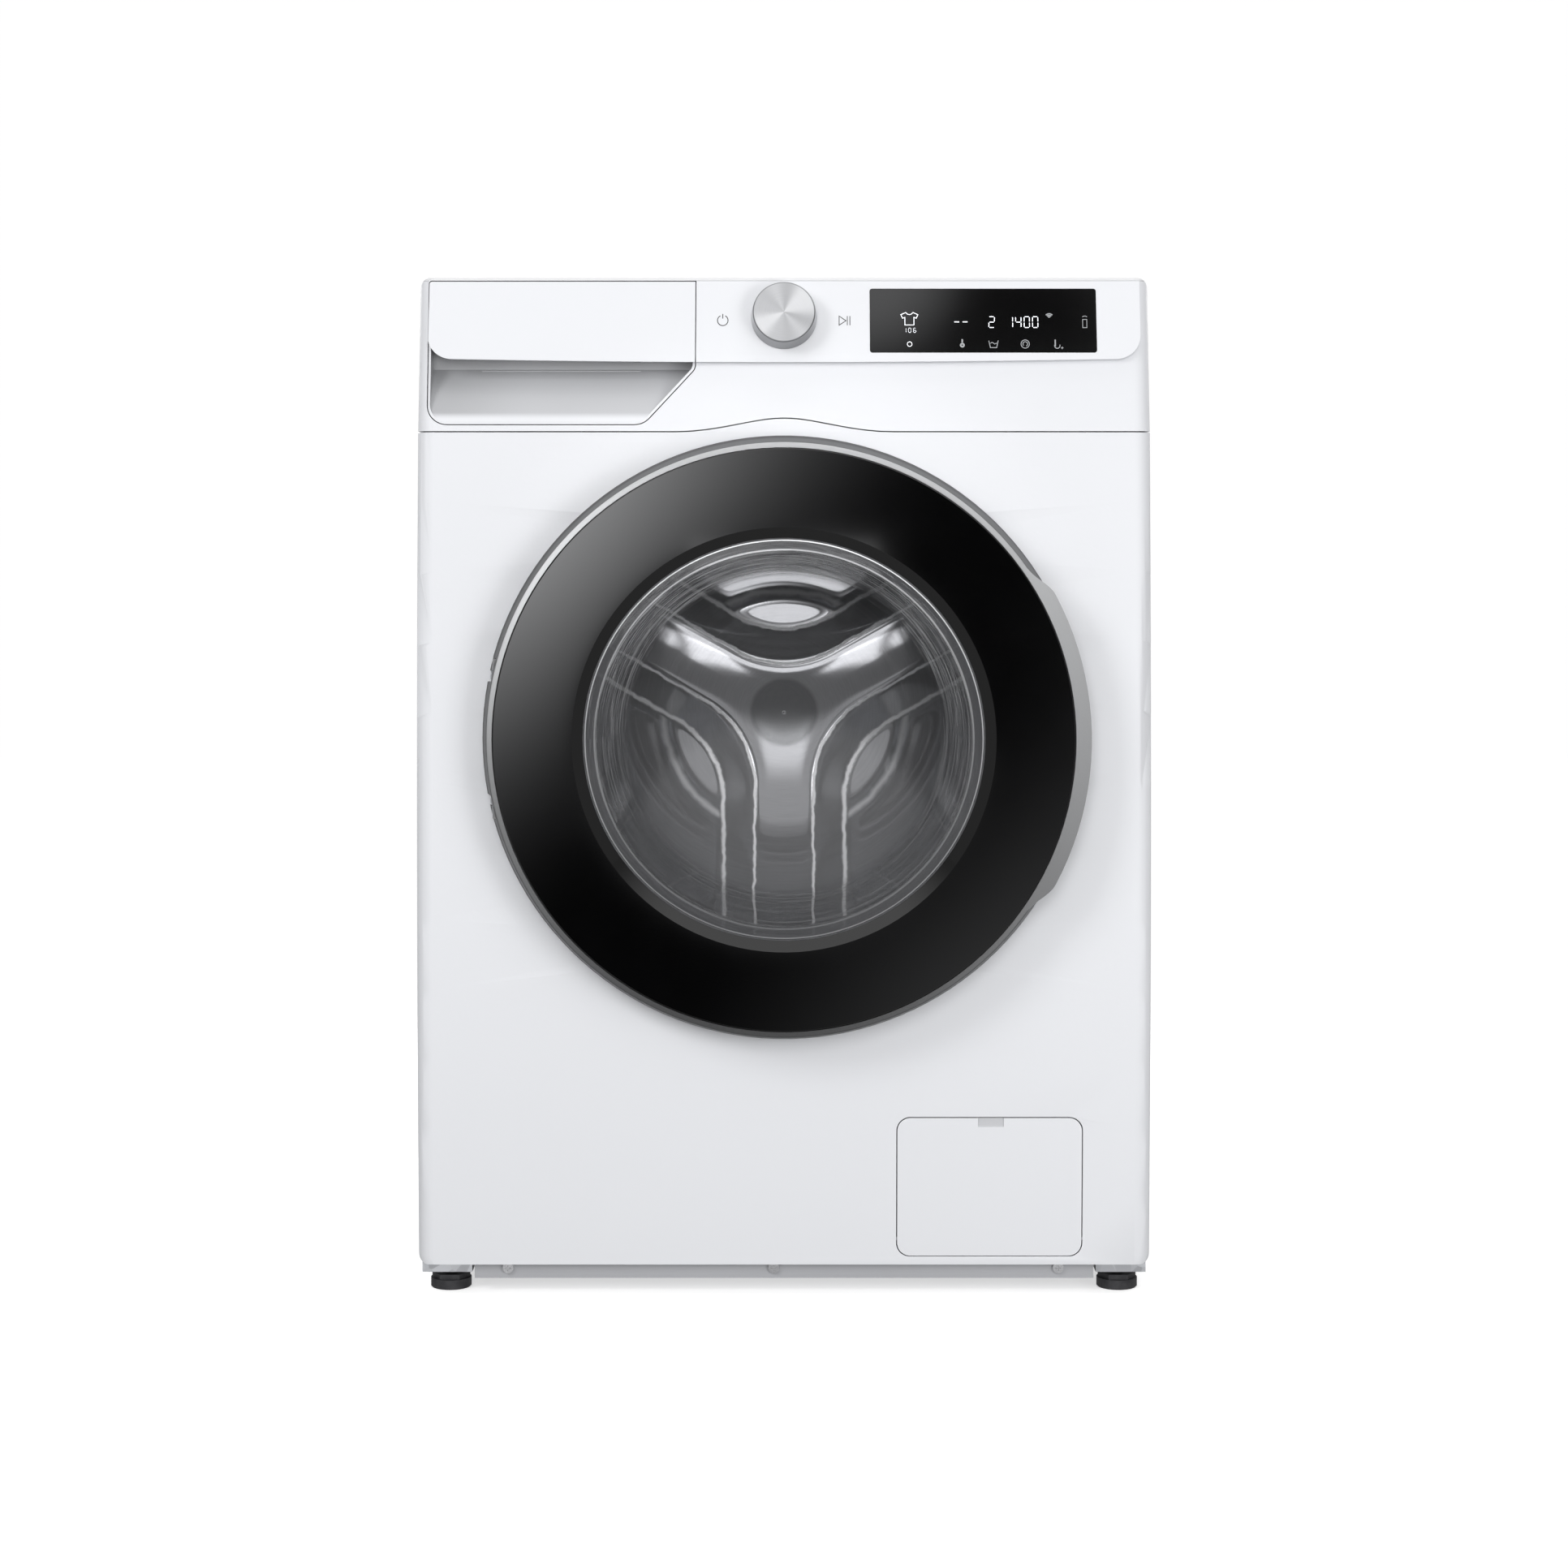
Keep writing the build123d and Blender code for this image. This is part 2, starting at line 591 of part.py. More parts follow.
# Drawer front: the left end of the band with a scooped handle under its lip
SCOOP_RIM = 2
SCOOP_Z = (713.6, 761)
SCOOP_ROOF_Z = 784
SCOOP_DEEP_Y = -224
GRIP_X = (-249, -118)
GRIP_Z = (755, 773)
scoop_foot_y = FASCIA_LOW_Y + (SCOOP_Z[0] - SEAM_Z) * fascia_slope
scoop_shape = drawer_outline(-SCOOP_RIM)
with BuildPart() as scoop:
    with BuildSketch(Plane.YZ.offset(DRAWER_LEFT_X)):
        with BuildLine():
            ThreePointArc(
                (scoop_foot_y, SCOOP_Z[0]),
                (scoop_foot_y + 10, SCOOP_Z[0] + 22),
                (SCOOP_DEEP_Y, SCOOP_Z[1] - 4),
            )
            Polyline(
                (SCOOP_DEEP_Y, SCOOP_Z[1] - 4),
                (SCOOP_DEEP_Y, SCOOP_ROOF_Z),
                (scoop_foot_y - 20, SCOOP_ROOF_Z),
                (scoop_foot_y - 20, SCOOP_Z[0]),
                (scoop_foot_y, SCOOP_Z[0]),
            )
        make_face()
    extrude(amount=DRAWER_RIGHT_X - DRAWER_LEFT_X)
    extrude(scoop_shape, amount=90, mode=Mode.INTERSECT)
    extrude(band_shape, amount=90, mode=Mode.SUBTRACT)
with BuildPart() as drawer_front:
    add(fascia.part)
    extrude(drawer_shape, amount=80, mode=Mode.INTERSECT)
    add(scoop.part, mode=Mode.SUBTRACT)
    with Locations((sum(GRIP_X) / 2, -232, sum(GRIP_Z) / 2)):
        Box(GRIP_X[1] - GRIP_X[0], 14, GRIP_Z[1] - GRIP_Z[0], mode=Mode.SUBTRACT)
    with Locations(((DRAWER_LEFT_X + DRAWER_RIGHT_X) / 2, FASCIA_BACK_Y, 800)):
        Box(DRAWER_RIGHT_X - DRAWER_LEFT_X - 14, 32, 40, mode=Mode.SUBTRACT)
drawer_front.part.label = "drawer_front"
export_step(drawer_front.part, "parts/drawer_front.step")

# Drawer tray: an open box of three compartments behind the front
TRAY_WALL = 2.5
TRAY_X = (DRAWER_LEFT_X + 8, DRAWER_RIGHT_X - 10)
TRAY_Y = (FASCIA_BACK_Y, 20)
TRAY_Z = (745, 792)
TRAY_SPLITS = (0.42, 0.72)
tray_width = TRAY_X[1] - TRAY_X[0]
tray_middle = (sum(TRAY_X) / 2, sum(TRAY_Y) / 2, sum(TRAY_Z) / 2)
tray_walls = [TRAY_X[0]] + [TRAY_X[0] + share * tray_width for share in TRAY_SPLITS] + [TRAY_X[1] - TRAY_WALL]
with BuildPart() as drawer_tray:
    with Locations(tray_middle):
        Box(tray_width, TRAY_Y[1] - TRAY_Y[0], TRAY_Z[1] - TRAY_Z[0])
    for left, right in zip(tray_walls[:-1], tray_walls[1:]):
        with Locations(((left + TRAY_WALL + right) / 2, tray_middle[1], tray_middle[2] + TRAY_WALL)):
            Box(
                right - left - TRAY_WALL,
                TRAY_Y[1] - TRAY_Y[0] - 2 * TRAY_WALL,
                TRAY_Z[1] - TRAY_Z[0],
                mode=Mode.SUBTRACT,
            )
drawer_tray.part.label = "drawer_tray"
export_step(drawer_tray.part, "parts/drawer_tray.step")

# Siphon cap over the rinse compartment's outlet
SIPHON_SIZE = (36, 40, 12)
siphon_x = (tray_walls[1] + TRAY_WALL + tray_walls[2]) / 2
siphon_y = TRAY_Y[1] - TRAY_WALL - SIPHON_SIZE[1] / 2 - 0.5
with BuildPart() as siphon_cap:
    with Locations((siphon_x, siphon_y, TRAY_Z[0] + TRAY_WALL + 20)):
        Box(*SIPHON_SIZE)
    with Locations((siphon_x, siphon_y, TRAY_Z[0] + TRAY_WALL + 7)):
        Cylinder(6, 14)
siphon_cap.part.label = "siphon_cap"
export_step(siphon_cap.part, "parts/siphon_cap.step")

# Drawer housing: a closed box open at the front, with a water inlet behind and an outlet below
HOUSING_WALL = 2.5
HOUSING_X = (DRAWER_LEFT_X + 2, DRAWER_RIGHT_X - 4)
INLET_Z = VALVE_PLACE[1]
OUTLET_PLACE = (-165, 10)
SPIGOT_R = 13
housing_middle = (sum(HOUSING_X) / 2, sum(HOUSING_Y) / 2, sum(HOUSING_Z) / 2)
housing_size = (HOUSING_X[1] - HOUSING_X[0], HOUSING_Y[1] - HOUSING_Y[0], HOUSING_Z[1] - HOUSING_Z[0])
with BuildPart() as drawer_housing:
    with Locations(housing_middle):
        Box(*housing_size)
    with BuildSketch(facing(HOUSING_Y[1] + 16)):
        with Locations((VALVE_PLACE[0], INLET_Z)):
            Circle(8)
    extrude(amount=16)
    with BuildSketch(Plane.XY.offset(HOUSING_Z[0] - 24)):
        with Locations(OUTLET_PLACE):
            Circle(SPIGOT_R)
    extrude(amount=24)
    with Locations((housing_middle[0], housing_middle[1] - HOUSING_WALL, housing_middle[2])):
        Box(*[length - 2 * HOUSING_WALL for length in housing_size[:1]], housing_size[1],
            housing_size[2] - 2 * HOUSING_WALL, mode=Mode.SUBTRACT)
    with BuildSketch(Plane.XY.offset(HOUSING_Z[0] - 24)):
        with Locations(OUTLET_PLACE):
            Circle(SPIGOT_R - 2)
    extrude(amount=24 + HOUSING_WALL, mode=Mode.SUBTRACT)
drawer_housing.part.label = "drawer_housing"
export_step(drawer_housing.part, "parts/drawer_housing.step")

# Frame of the filter's pocket, with an ear on each side for the flap's pins
FLAP_HINGE_Y = bow_y(FLAP_HINGE_Z) + FLAP_HINGE_DEPTH
FLAP_PIN_R = 1.5
FLAP_PIN_OUT = 5
POCKET_Y = (-246, -225)
POCKET_X = (FLAP_X[0] - 6.5, FLAP_X[1] + 6.5)
POCKET_Z = (28.3, 152)
POCKET_WALL = 2.4
POCKET_SIDE = 5.6
FILTER_HOLE_R = 38
pocket_middle = (sum(POCKET_X) / 2, sum(POCKET_Y) / 2, sum(POCKET_Z) / 2)
pocket_size = (POCKET_X[1] - POCKET_X[0], POCKET_Y[1] - POCKET_Y[0], POCKET_Z[1] - POCKET_Z[0])
flap_axis = Plane.YZ.offset(POCKET_X[0] - 1)
with BuildPart() as flap_frame:
    with Locations(pocket_middle):
        Box(*pocket_size)
    with Locations((pocket_middle[0], pocket_middle[1] - POCKET_WALL, pocket_middle[2])):
        Box(
            pocket_size[0] - 2 * POCKET_SIDE,
            pocket_size[1],
            pocket_size[2] - 2 * POCKET_WALL,
            mode=Mode.SUBTRACT,
        )
    with BuildSketch(facing(POCKET_Y[1])):
        with Locations((PUMP_X, PUMP_Z)):
            Circle(FILTER_HOLE_R)
    extrude(amount=10, mode=Mode.SUBTRACT)
    with BuildSketch(flap_axis):
        with Locations((FLAP_HINGE_Y, FLAP_HINGE_Z)):
            Circle(FLAP_PIN_R + RUN_GAP)
    extrude(amount=pocket_size[0] + 2, mode=Mode.SUBTRACT)
flap_frame.part.label = "flap_frame"
export_step(flap_frame.part, "parts/flap_frame.step")

# Filter flap: a bowed plate that turns on a barrel behind it, just above its lower corners
FLAP_WALL = 2.5
FLAP_NOTCH = (21, 14.6)
FLAP_NOTCH_DEPTH = 1.5
FLAP_SPARE = 2
flap_foot = (bow_y(FLAP_Z[0] - FLAP_SPARE), FLAP_Z[0] - FLAP_SPARE)
flap_waist = (bow_y(FLAP_MIDDLE[1]), FLAP_MIDDLE[1])
flap_head = (bow_y(FLAP_Z[1] + FLAP_SPARE), FLAP_Z[1] + FLAP_SPARE)
with BuildPart() as filter_flap:
    with BuildSketch(Plane.YZ.offset(FLAP_X[0] - FLAP_SPARE)):
        with BuildLine():
            ThreePointArc(flap_foot, flap_waist, flap_head)
            Line(flap_head, (flap_head[0] + FLAP_WALL, flap_head[1]))
            ThreePointArc(
                (flap_head[0] + FLAP_WALL, flap_head[1]),
                (flap_waist[0] + FLAP_WALL, flap_waist[1]),
                (flap_foot[0] + FLAP_WALL, flap_foot[1]),
            )
            Line((flap_foot[0] + FLAP_WALL, flap_foot[1]), flap_foot)
        make_face()
        with Locations((FLAP_HINGE_Y, FLAP_HINGE_Z)):
            Circle(FLAP_BARREL_R)
    extrude(amount=FLAP_SIZE[0] + 2 * FLAP_SPARE)
    with BuildSketch(facing(POCKET_Y[1])):
        with Locations(FLAP_MIDDLE):
            RectangleRounded(*FLAP_SIZE, FLAP_RADIUS)
    extrude(amount=60, mode=Mode.INTERSECT)
    with BuildSketch(facing(bow_y(FLAP_Z[1]) + FLAP_NOTCH_DEPTH)):
        with Locations((FLAP_MIDDLE[0] + 1, FLAP_Z[1])):
            Rectangle(*FLAP_NOTCH)
    extrude(amount=20, mode=Mode.SUBTRACT)
    with BuildSketch(Plane.YZ.offset(FLAP_X[0] - FLAP_PIN_OUT)):
        with Locations((FLAP_HINGE_Y, FLAP_HINGE_Z)):
            Circle(FLAP_PIN_R)
    extrude(amount=FLAP_SIZE[0] + 2 * FLAP_PIN_OUT)
filter_flap.part.label = "filter_flap"
export_step(filter_flap.part, "parts/filter_flap.step")

# Drain pump: filter chamber, impeller chamber and motor in line behind the pocket
PUMP_AXIS = Axis((PUMP_X, 0, PUMP_Z), (0, 1, 0))
PUMP_PLANE = Plane((PUMP_X, 0, PUMP_Z))
FILTER_BORE_R = 31.5
CHAMBER_R = 24
PUMP_IN_Y = -165
PUMP_OUT_Y = -122
IMPELLER_Y = (-132, -114)
with BuildPart() as drain_pump:
    with BuildSketch(PUMP_PLANE):
        with BuildLine():
            Polyline(
                (FILTER_BORE_R, POCKET_Y[1]),
                (PUMP_R, POCKET_Y[1]),
                (PUMP_R, -108),
                (PUMP_R - 6, -108),
                (PUMP_R - 6, -58),
                (0, -58),
                (0, -98),
                (2 + RUN_GAP, -98),
                (2 + RUN_GAP, -112),
                (CHAMBER_R, -112),
                (CHAMBER_R, -136),
                (FILTER_BORE_R, -136),
                close=True,
            )
        make_face()
    revolve(axis=PUMP_AXIS)
    with BuildSketch(Plane.YZ.offset(PUMP_X - PUMP_R - 16)):
        with Locations((PUMP_IN_Y, PUMP_Z)):
            Circle(SPIGOT_R)
            Circle(SPIGOT_R - 2.5, mode=Mode.SUBTRACT)
    extrude(amount=19)
    with BuildSketch(Plane.YZ.offset(PUMP_X + PUMP_R - 8)):
        with Locations((PUMP_OUT_Y, PUMP_Z)):
            Circle(9)
            Circle(7, mode=Mode.SUBTRACT)
    extrude(amount=26)
drain_pump.part.label = "drain_pump"
export_step(drain_pump.part, "parts/drain_pump.step")

# Impeller of the pump: a shaft with four blades
with BuildPart() as pump_impeller:
    with BuildSketch(facing(IMPELLER_Y[1])):
        with Locations((PUMP_X, PUMP_Z)):
            Circle(8)
            with PolarLocations(0, 4):
                with Locations((13, 0)):
                    Rectangle(16, 2.5)
    extrude(amount=IMPELLER_Y[1] - IMPELLER_Y[0])
    with BuildSketch(facing(-99)):
        with Locations((PUMP_X, PUMP_Z)):
            Circle(2)
    extrude(amount=20)
pump_impeller.part.label = "pump_impeller"
export_step(pump_impeller.part, "parts/pump_impeller.step")

# Filter: a screw cap with a grip bar and a ribbed basket
CAP_Y = (-236, -229)
CAP_FLANGE_R = 34
BASKET_R = 29
BASKET_WALL = 2.5
BASKET_BACK_Y = -150
with BuildPart() as drain_filter:
    with BuildSketch(facing(CAP_Y[1])):
        with Locations((PUMP_X, PUMP_Z)):
            Circle(CAP_FLANGE_R)
    extrude(amount=CAP_Y[1] - CAP_Y[0])
    with BuildSketch(facing(CAP_Y[0])):
        with Locations((PUMP_X, PUMP_Z)):
            Rectangle(9, 52)
    extrude(amount=7)
    with BuildSketch(facing(BASKET_BACK_Y)):
        with Locations((PUMP_X, PUMP_Z)):
            Circle(BASKET_R)
            Circle(BASKET_R - BASKET_WALL, mode=Mode.SUBTRACT)
    extrude(amount=BASKET_BACK_Y - CAP_Y[1])
    with BuildSketch(facing(BASKET_BACK_Y - 5)):
        with Locations((PUMP_X, PUMP_Z)):
            with PolarLocations(0, 3, angular_range=180):
                Rectangle(2 * BASKET_R + 4, 14)
    extrude(amount=BASKET_BACK_Y - CAP_Y[1] - 10, mode=Mode.SUBTRACT)
drain_filter.part.label = "drain_filter"
export_step(drain_filter.part, "parts/drain_filter.step")

# Inlet valve with its threaded pipe out of the back
THREAD_R = 13.2
VALVE_BACK_Y = DEPTH / 2
VALVE_BODY_Y = (236, REAR_Y)
HOSE_SPIGOT_R = 8
with BuildPart() as inlet_valve:
    with BuildSketch(facing(VALVE_BODY_Y[1])):
        with Locations(VALVE_PLACE):
            RectangleRounded(46, 40, 5)
    extrude(amount=VALVE_BODY_Y[1] - VALVE_BODY_Y[0])
    with BuildSketch(facing(VALVE_BACK_Y)):
        with Locations(VALVE_PLACE):
            Circle(THREAD_R)
    extrude(amount=VALVE_BACK_Y - VALVE_BODY_Y[1])
    with BuildSketch(facing(VALVE_BODY_Y[0])):
        with Locations(VALVE_PLACE):
            Circle(HOSE_SPIGOT_R)
    extrude(amount=12)
    with BuildSketch(facing(VALVE_BACK_Y)):
        with Locations(VALVE_PLACE):
            Circle(THREAD_R - 3.5)
    extrude(amount=24, mode=Mode.SUBTRACT)
inlet_valve.part.label = "inlet_valve"
export_step(inlet_valve.part, "parts/inlet_valve.step")

# Straight hose from the valve to the drawer housing
HOSE_GAP = 0.2
HOSE_WALL = 3
with BuildPart() as inlet_hose:
    with BuildSketch(facing(VALVE_BODY_Y[0] - 1)):
        with Locations(VALVE_PLACE):
            Circle(HOSE_SPIGOT_R + HOSE_GAP + HOSE_WALL)
            Circle(HOSE_SPIGOT_R + HOSE_GAP, mode=Mode.SUBTRACT)
    extrude(amount=VALVE_BODY_Y[0] - HOUSING_Y[1] - 2)
inlet_hose.part.label = "inlet_hose"
export_step(inlet_hose.part, "parts/inlet_hose.step")

# Drain hose from the pump along the right side and up the back
DRAIN_HOSE_R = 12
DRAIN_BORE_R = 9.2
drain_points = [
    (PUMP_X + PUMP_R + 2, PUMP_OUT_Y, PUMP_Z),
    (DRAIN_PLACE[0], PUMP_OUT_Y, PUMP_Z),
    (DRAIN_PLACE[0], 235, PUMP_Z),
    (DRAIN_PLACE[0], 235, DRAIN_PLACE[1]),
    (DRAIN_PLACE[0], 274, DRAIN_PLACE[1]),
]
with BuildPart() as drain_hose:
    with BuildLine() as drain_path:
        FilletPolyline(*drain_points, radius=26)
    with BuildSketch(Plane.YZ.offset(drain_points[0][0])):
        with Locations((PUMP_OUT_Y, PUMP_Z)):
            Circle(DRAIN_HOSE_R)
            Circle(DRAIN_BORE_R, mode=Mode.SUBTRACT)
    sweep(path=drain_path.wires()[0])
drain_hose.part.label = "drain_hose"
export_step(drain_hose.part, "parts/drain_hose.step")

# Drain spigot through the rear panel
DRAIN_SPIGOT_Y = (262, 296)
with BuildPart() as drain_spigot:
    with BuildSketch(facing(DRAIN_SPIGOT_Y[1])):
        with Locations(DRAIN_PLACE):
            Circle(DRAIN_BORE_R - HOSE_GAP)
    extrude(amount=DRAIN_SPIGOT_Y[1] - DRAIN_SPIGOT_Y[0])
    with BuildSketch(facing(cover_y + 2)):
        with Locations(DRAIN_PLACE):
            Circle(DRAIN_R + 5)
    extrude(amount=2)
    with BuildSketch(facing(DRAIN_SPIGOT_Y[1])):
        with Locations(DRAIN_PLACE):
            Circle(DRAIN_BORE_R - 2.4)
    extrude(amount=DRAIN_SPIGOT_Y[1] - DRAIN_SPIGOT_Y[0], mode=Mode.SUBTRACT)
drain_spigot.part.label = "drain_spigot"
export_step(drain_spigot.part, "parts/drain_spigot.step")

# Door lock behind the front panel, hollow round the hook
LOCK_X = (196, 240)
LOCK_Y = (-254, -226)
LOCK_HALF = 36
LOCK_WALL = 3
with BuildPart() as door_lock:
    with Locations((sum(LOCK_X) / 2, sum(LOCK_Y) / 2, AXIS_Z)):
        Box(LOCK_X[1] - LOCK_X[0], LOCK_Y[1] - LOCK_Y[0], 2 * LOCK_HALF)
    with Locations((HOOK_X + 6.5, LOCK_Y[0] - LOCK_WALL + (LOCK_Y[1] - LOCK_Y[0]) / 2, AXIS_Z)):
        Box(31, LOCK_Y[1] - LOCK_Y[0], 40, mode=Mode.SUBTRACT)
door_lock.part.label = "door_lock"
export_step(door_lock.part, "parts/door_lock.step")

# Hinge bracket behind the front panel, with two ears that reach out to the pin
EAR_HALF = 4
EAR_THICK = 4
BRACKET_Y = (-258.2, -255.2)
BRACKET_SIZE = (66, 150)
with BuildPart() as hinge_bracket:
    with BuildSketch(facing(BRACKET_Y[1])):
        with Locations((HINGE_X + 10, AXIS_Z)):
            RectangleRounded(*BRACKET_SIZE, 6)
        with Locations((0, AXIS_Z)):
            Circle(OPENING_R + 8, mode=Mode.SUBTRACT)
    extrude(amount=BRACKET_Y[1] - BRACKET_Y[0])
    for ear_z in (-HINGE_EAR_Z, HINGE_EAR_Z):
        with BuildSketch(Plane.XY.offset(AXIS_Z + ear_z - EAR_THICK / 2)):
            with Locations((HINGE_X, HINGE_Y)):
                Circle(EAR_HALF + 0.5)
            with Locations((HINGE_X, (HINGE_Y + BRACKET_Y[1]) / 2)):
                Rectangle(2 * EAR_HALF, BRACKET_Y[1] - HINGE_Y)
        extrude(amount=EAR_THICK)
    with Locations((HINGE_X, HINGE_Y, AXIS_Z)):
        Cylinder(HINGE_PIN_R + RUN_GAP, 3 * HINGE_EAR_Z, mode=Mode.SUBTRACT)
hinge_bracket.part.label = "hinge_bracket"
export_step(hinge_bracket.part, "parts/hinge_bracket.step")

# Door frame: a ring with the grip on its right, slots for the hinge ears and a back that follows the bow
FRAME_INNER_R = 222
FRAME_SEAT_Y = -291.8
FRAME_FRONT_Y = -297
BACK_GAP = 2
GRIP_ANGLES = (28, 35)
GRIP_BACK_Y = -283
GRIP_POCKET_R = 230
EAR_SLOT = 9
bow_space_y = (bow_y(150) - BACK_GAP, bow_y(AXIS_Z) - BACK_GAP, bow_y(763) - BACK_GAP)
with BuildPart() as behind_door:
    with BuildSketch(Plane.YZ):
        with BuildLine():
            ThreePointArc((bow_space_y[0], 150), (bow_space_y[1], AXIS_Z), (bow_space_y[2], 763))
            Polyline((bow_space_y[2], 763), (-200, 763), (-200, 150), (bow_space_y[0], 150))
        make_face()
    extrude(amount=WIDTH / 2, both=True)
with BuildPart() as door_frame:
    with BuildSketch(RADIAL):
        with BuildLine():
            Polyline(
                (FRAME_INNER_R, FRAME_SEAT_Y),
                (GLASS_R + 0.4, FRAME_SEAT_Y),
                (GLASS_R + 0.4, FRAME_FRONT_Y),
                (RING_R - 1.2, FRAME_FRONT_Y),
                (RING_R, FRAME_FRONT_Y + 1.5),
                (DOOR_BACK_R, -266),
                (DOOR_BACK_R, -245),
                (FRAME_INNER_R, -245),
                close=True,
            )
        make_face()
    revolve(axis=DRUM_AXIS)
    with BuildSketch(facing(GRIP_BACK_Y)):
        with BuildLine():
            ThreePointArc(
                polar(HANDLE_R, -GRIP_ANGLES[0]),
                polar(HANDLE_R, 0),
                polar(HANDLE_R, GRIP_ANGLES[0]),
            )
            Spline(
                polar(HANDLE_R, GRIP_ANGLES[0]),
                polar(RING_R - 0.4, GRIP_ANGLES[1]),
                tangents=(heading(GRIP_ANGLES[0] + 90), heading(GRIP_ANGLES[1] + 90)),
            )
            Line(polar(RING_R - 0.4, GRIP_ANGLES[1]), polar(GLASS_R + 1, GRIP_ANGLES[1]))
            ThreePointArc(
                polar(GLASS_R + 1, GRIP_ANGLES[1]),
                polar(GLASS_R + 1, 0),
                polar(GLASS_R + 1, -GRIP_ANGLES[1]),
            )
            Line(polar(GLASS_R + 1, -GRIP_ANGLES[1]), polar(RING_R - 0.4, -GRIP_ANGLES[1]))
            Spline(
                polar(RING_R - 0.4, -GRIP_ANGLES[1]),
                polar(HANDLE_R, -GRIP_ANGLES[0]),
                tangents=(heading(90 - GRIP_ANGLES[1]), heading(90 - GRIP_ANGLES[0])),
            )
        make_face()
    extrude(amount=GRIP_BACK_Y - FRAME_FRONT_Y)
    add(behind_door.part, mode=Mode.SUBTRACT)
    with BuildSketch(facing(-245)):
        with BuildLine():
            ThreePointArc(polar(GRIP_POCKET_R, -24), polar(GRIP_POCKET_R, 0), polar(GRIP_POCKET_R, 24))
            Line(polar(GRIP_POCKET_R, 24), polar(HANDLE_R + 20, 24))
            ThreePointArc(polar(HANDLE_R + 20, 24), polar(HANDLE_R + 20, 0), polar(HANDLE_R + 20, -24))
            Line(polar(HANDLE_R + 20, -24), polar(GRIP_POCKET_R, -24))
        make_face()
    extrude(amount=GRIP_BACK_Y * -1 - 245, mode=Mode.SUBTRACT)
    for ear_z in (-HINGE_EAR_Z, HINGE_EAR_Z):
        with Locations((HINGE_X, (FRAME_SEAT_Y - 240) / 2, AXIS_Z + ear_z)):
            Box(60, -240 - FRAME_SEAT_Y, EAR_SLOT, mode=Mode.SUBTRACT)
    with Locations((-248, -256, AXIS_Z)):
        Box(24, 24, 150, mode=Mode.SUBTRACT)
    with Locations((HINGE_X, HINGE_Y, AXIS_Z)):
        Cylinder(HINGE_PIN_R, 2 * HINGE_EAR_Z + 30, mode=Mode.SUBTRACT)
door_frame.part.label = "door_frame"
export_step(door_frame.part, "parts/door_frame.step")

# Hinge pin, fast in the door and free in the ears
with BuildPart() as hinge_pin:
    with Locations((HINGE_X, HINGE_Y, AXIS_Z)):
        Cylinder(HINGE_PIN_R, 2 * HINGE_EAR_Z + 28)
hinge_pin.part.label = "hinge_pin"
export_step(hinge_pin.part, "parts/hinge_pin.step")

# Black glass ring on the door's front, bevelled towards the bowl
GLASS_BACK_Y = -292
with BuildPart() as door_glass:
    with BuildSketch(RADIAL):
        with BuildLine():
            Polyline(
                (BEVEL_R - 8.5, GLASS_BACK_Y - 0.6),
                (BEVEL_R, DOOR_FRONT_Y),
                (GLASS_R - 0.8, DOOR_FRONT_Y),
                (GLASS_R, DOOR_FRONT_Y + 0.8),
                (GLASS_R, GLASS_BACK_Y),
                (BEVEL_R - 8.5, GLASS_BACK_Y),
                close=True,
            )
        make_face()
    revolve(axis=DRUM_AXIS)
door_glass.part.label = "door_glass"
export_step(door_glass.part, "parts/door_glass.step")

# Glass bowl that reaches back into the drum
BOWL_WALL = 5
BOWL_BACK_Y = -190
with BuildPart() as door_bowl:
    with BuildSketch(RADIAL):
        with BuildLine():
            Polyline(
                (0, BOWL_BACK_Y - BOWL_WALL),
                (0, BOWL_BACK_Y),
                (96, BOWL_BACK_Y - 5),
            )
            ThreePointArc((96, BOWL_BACK_Y - 5), (128, BOWL_BACK_Y - 15), (140, BOWL_BACK_Y - 34))
            Polyline(
                (140, BOWL_BACK_Y - 34),
                (154, -284),
                (BOWL_R, -286),
                (BOWL_R, -291),
                (152, -291),
                (135, BOWL_BACK_Y - 35),
            )
            ThreePointArc((135, BOWL_BACK_Y - 35), (124, BOWL_BACK_Y - 19), (95, BOWL_BACK_Y - 10))
            Line((95, BOWL_BACK_Y - 10), (0, BOWL_BACK_Y - BOWL_WALL))
        make_face()
    revolve(axis=DRUM_AXIS)
door_bowl.part.label = "door_bowl"
export_step(door_bowl.part, "parts/door_bowl.step")

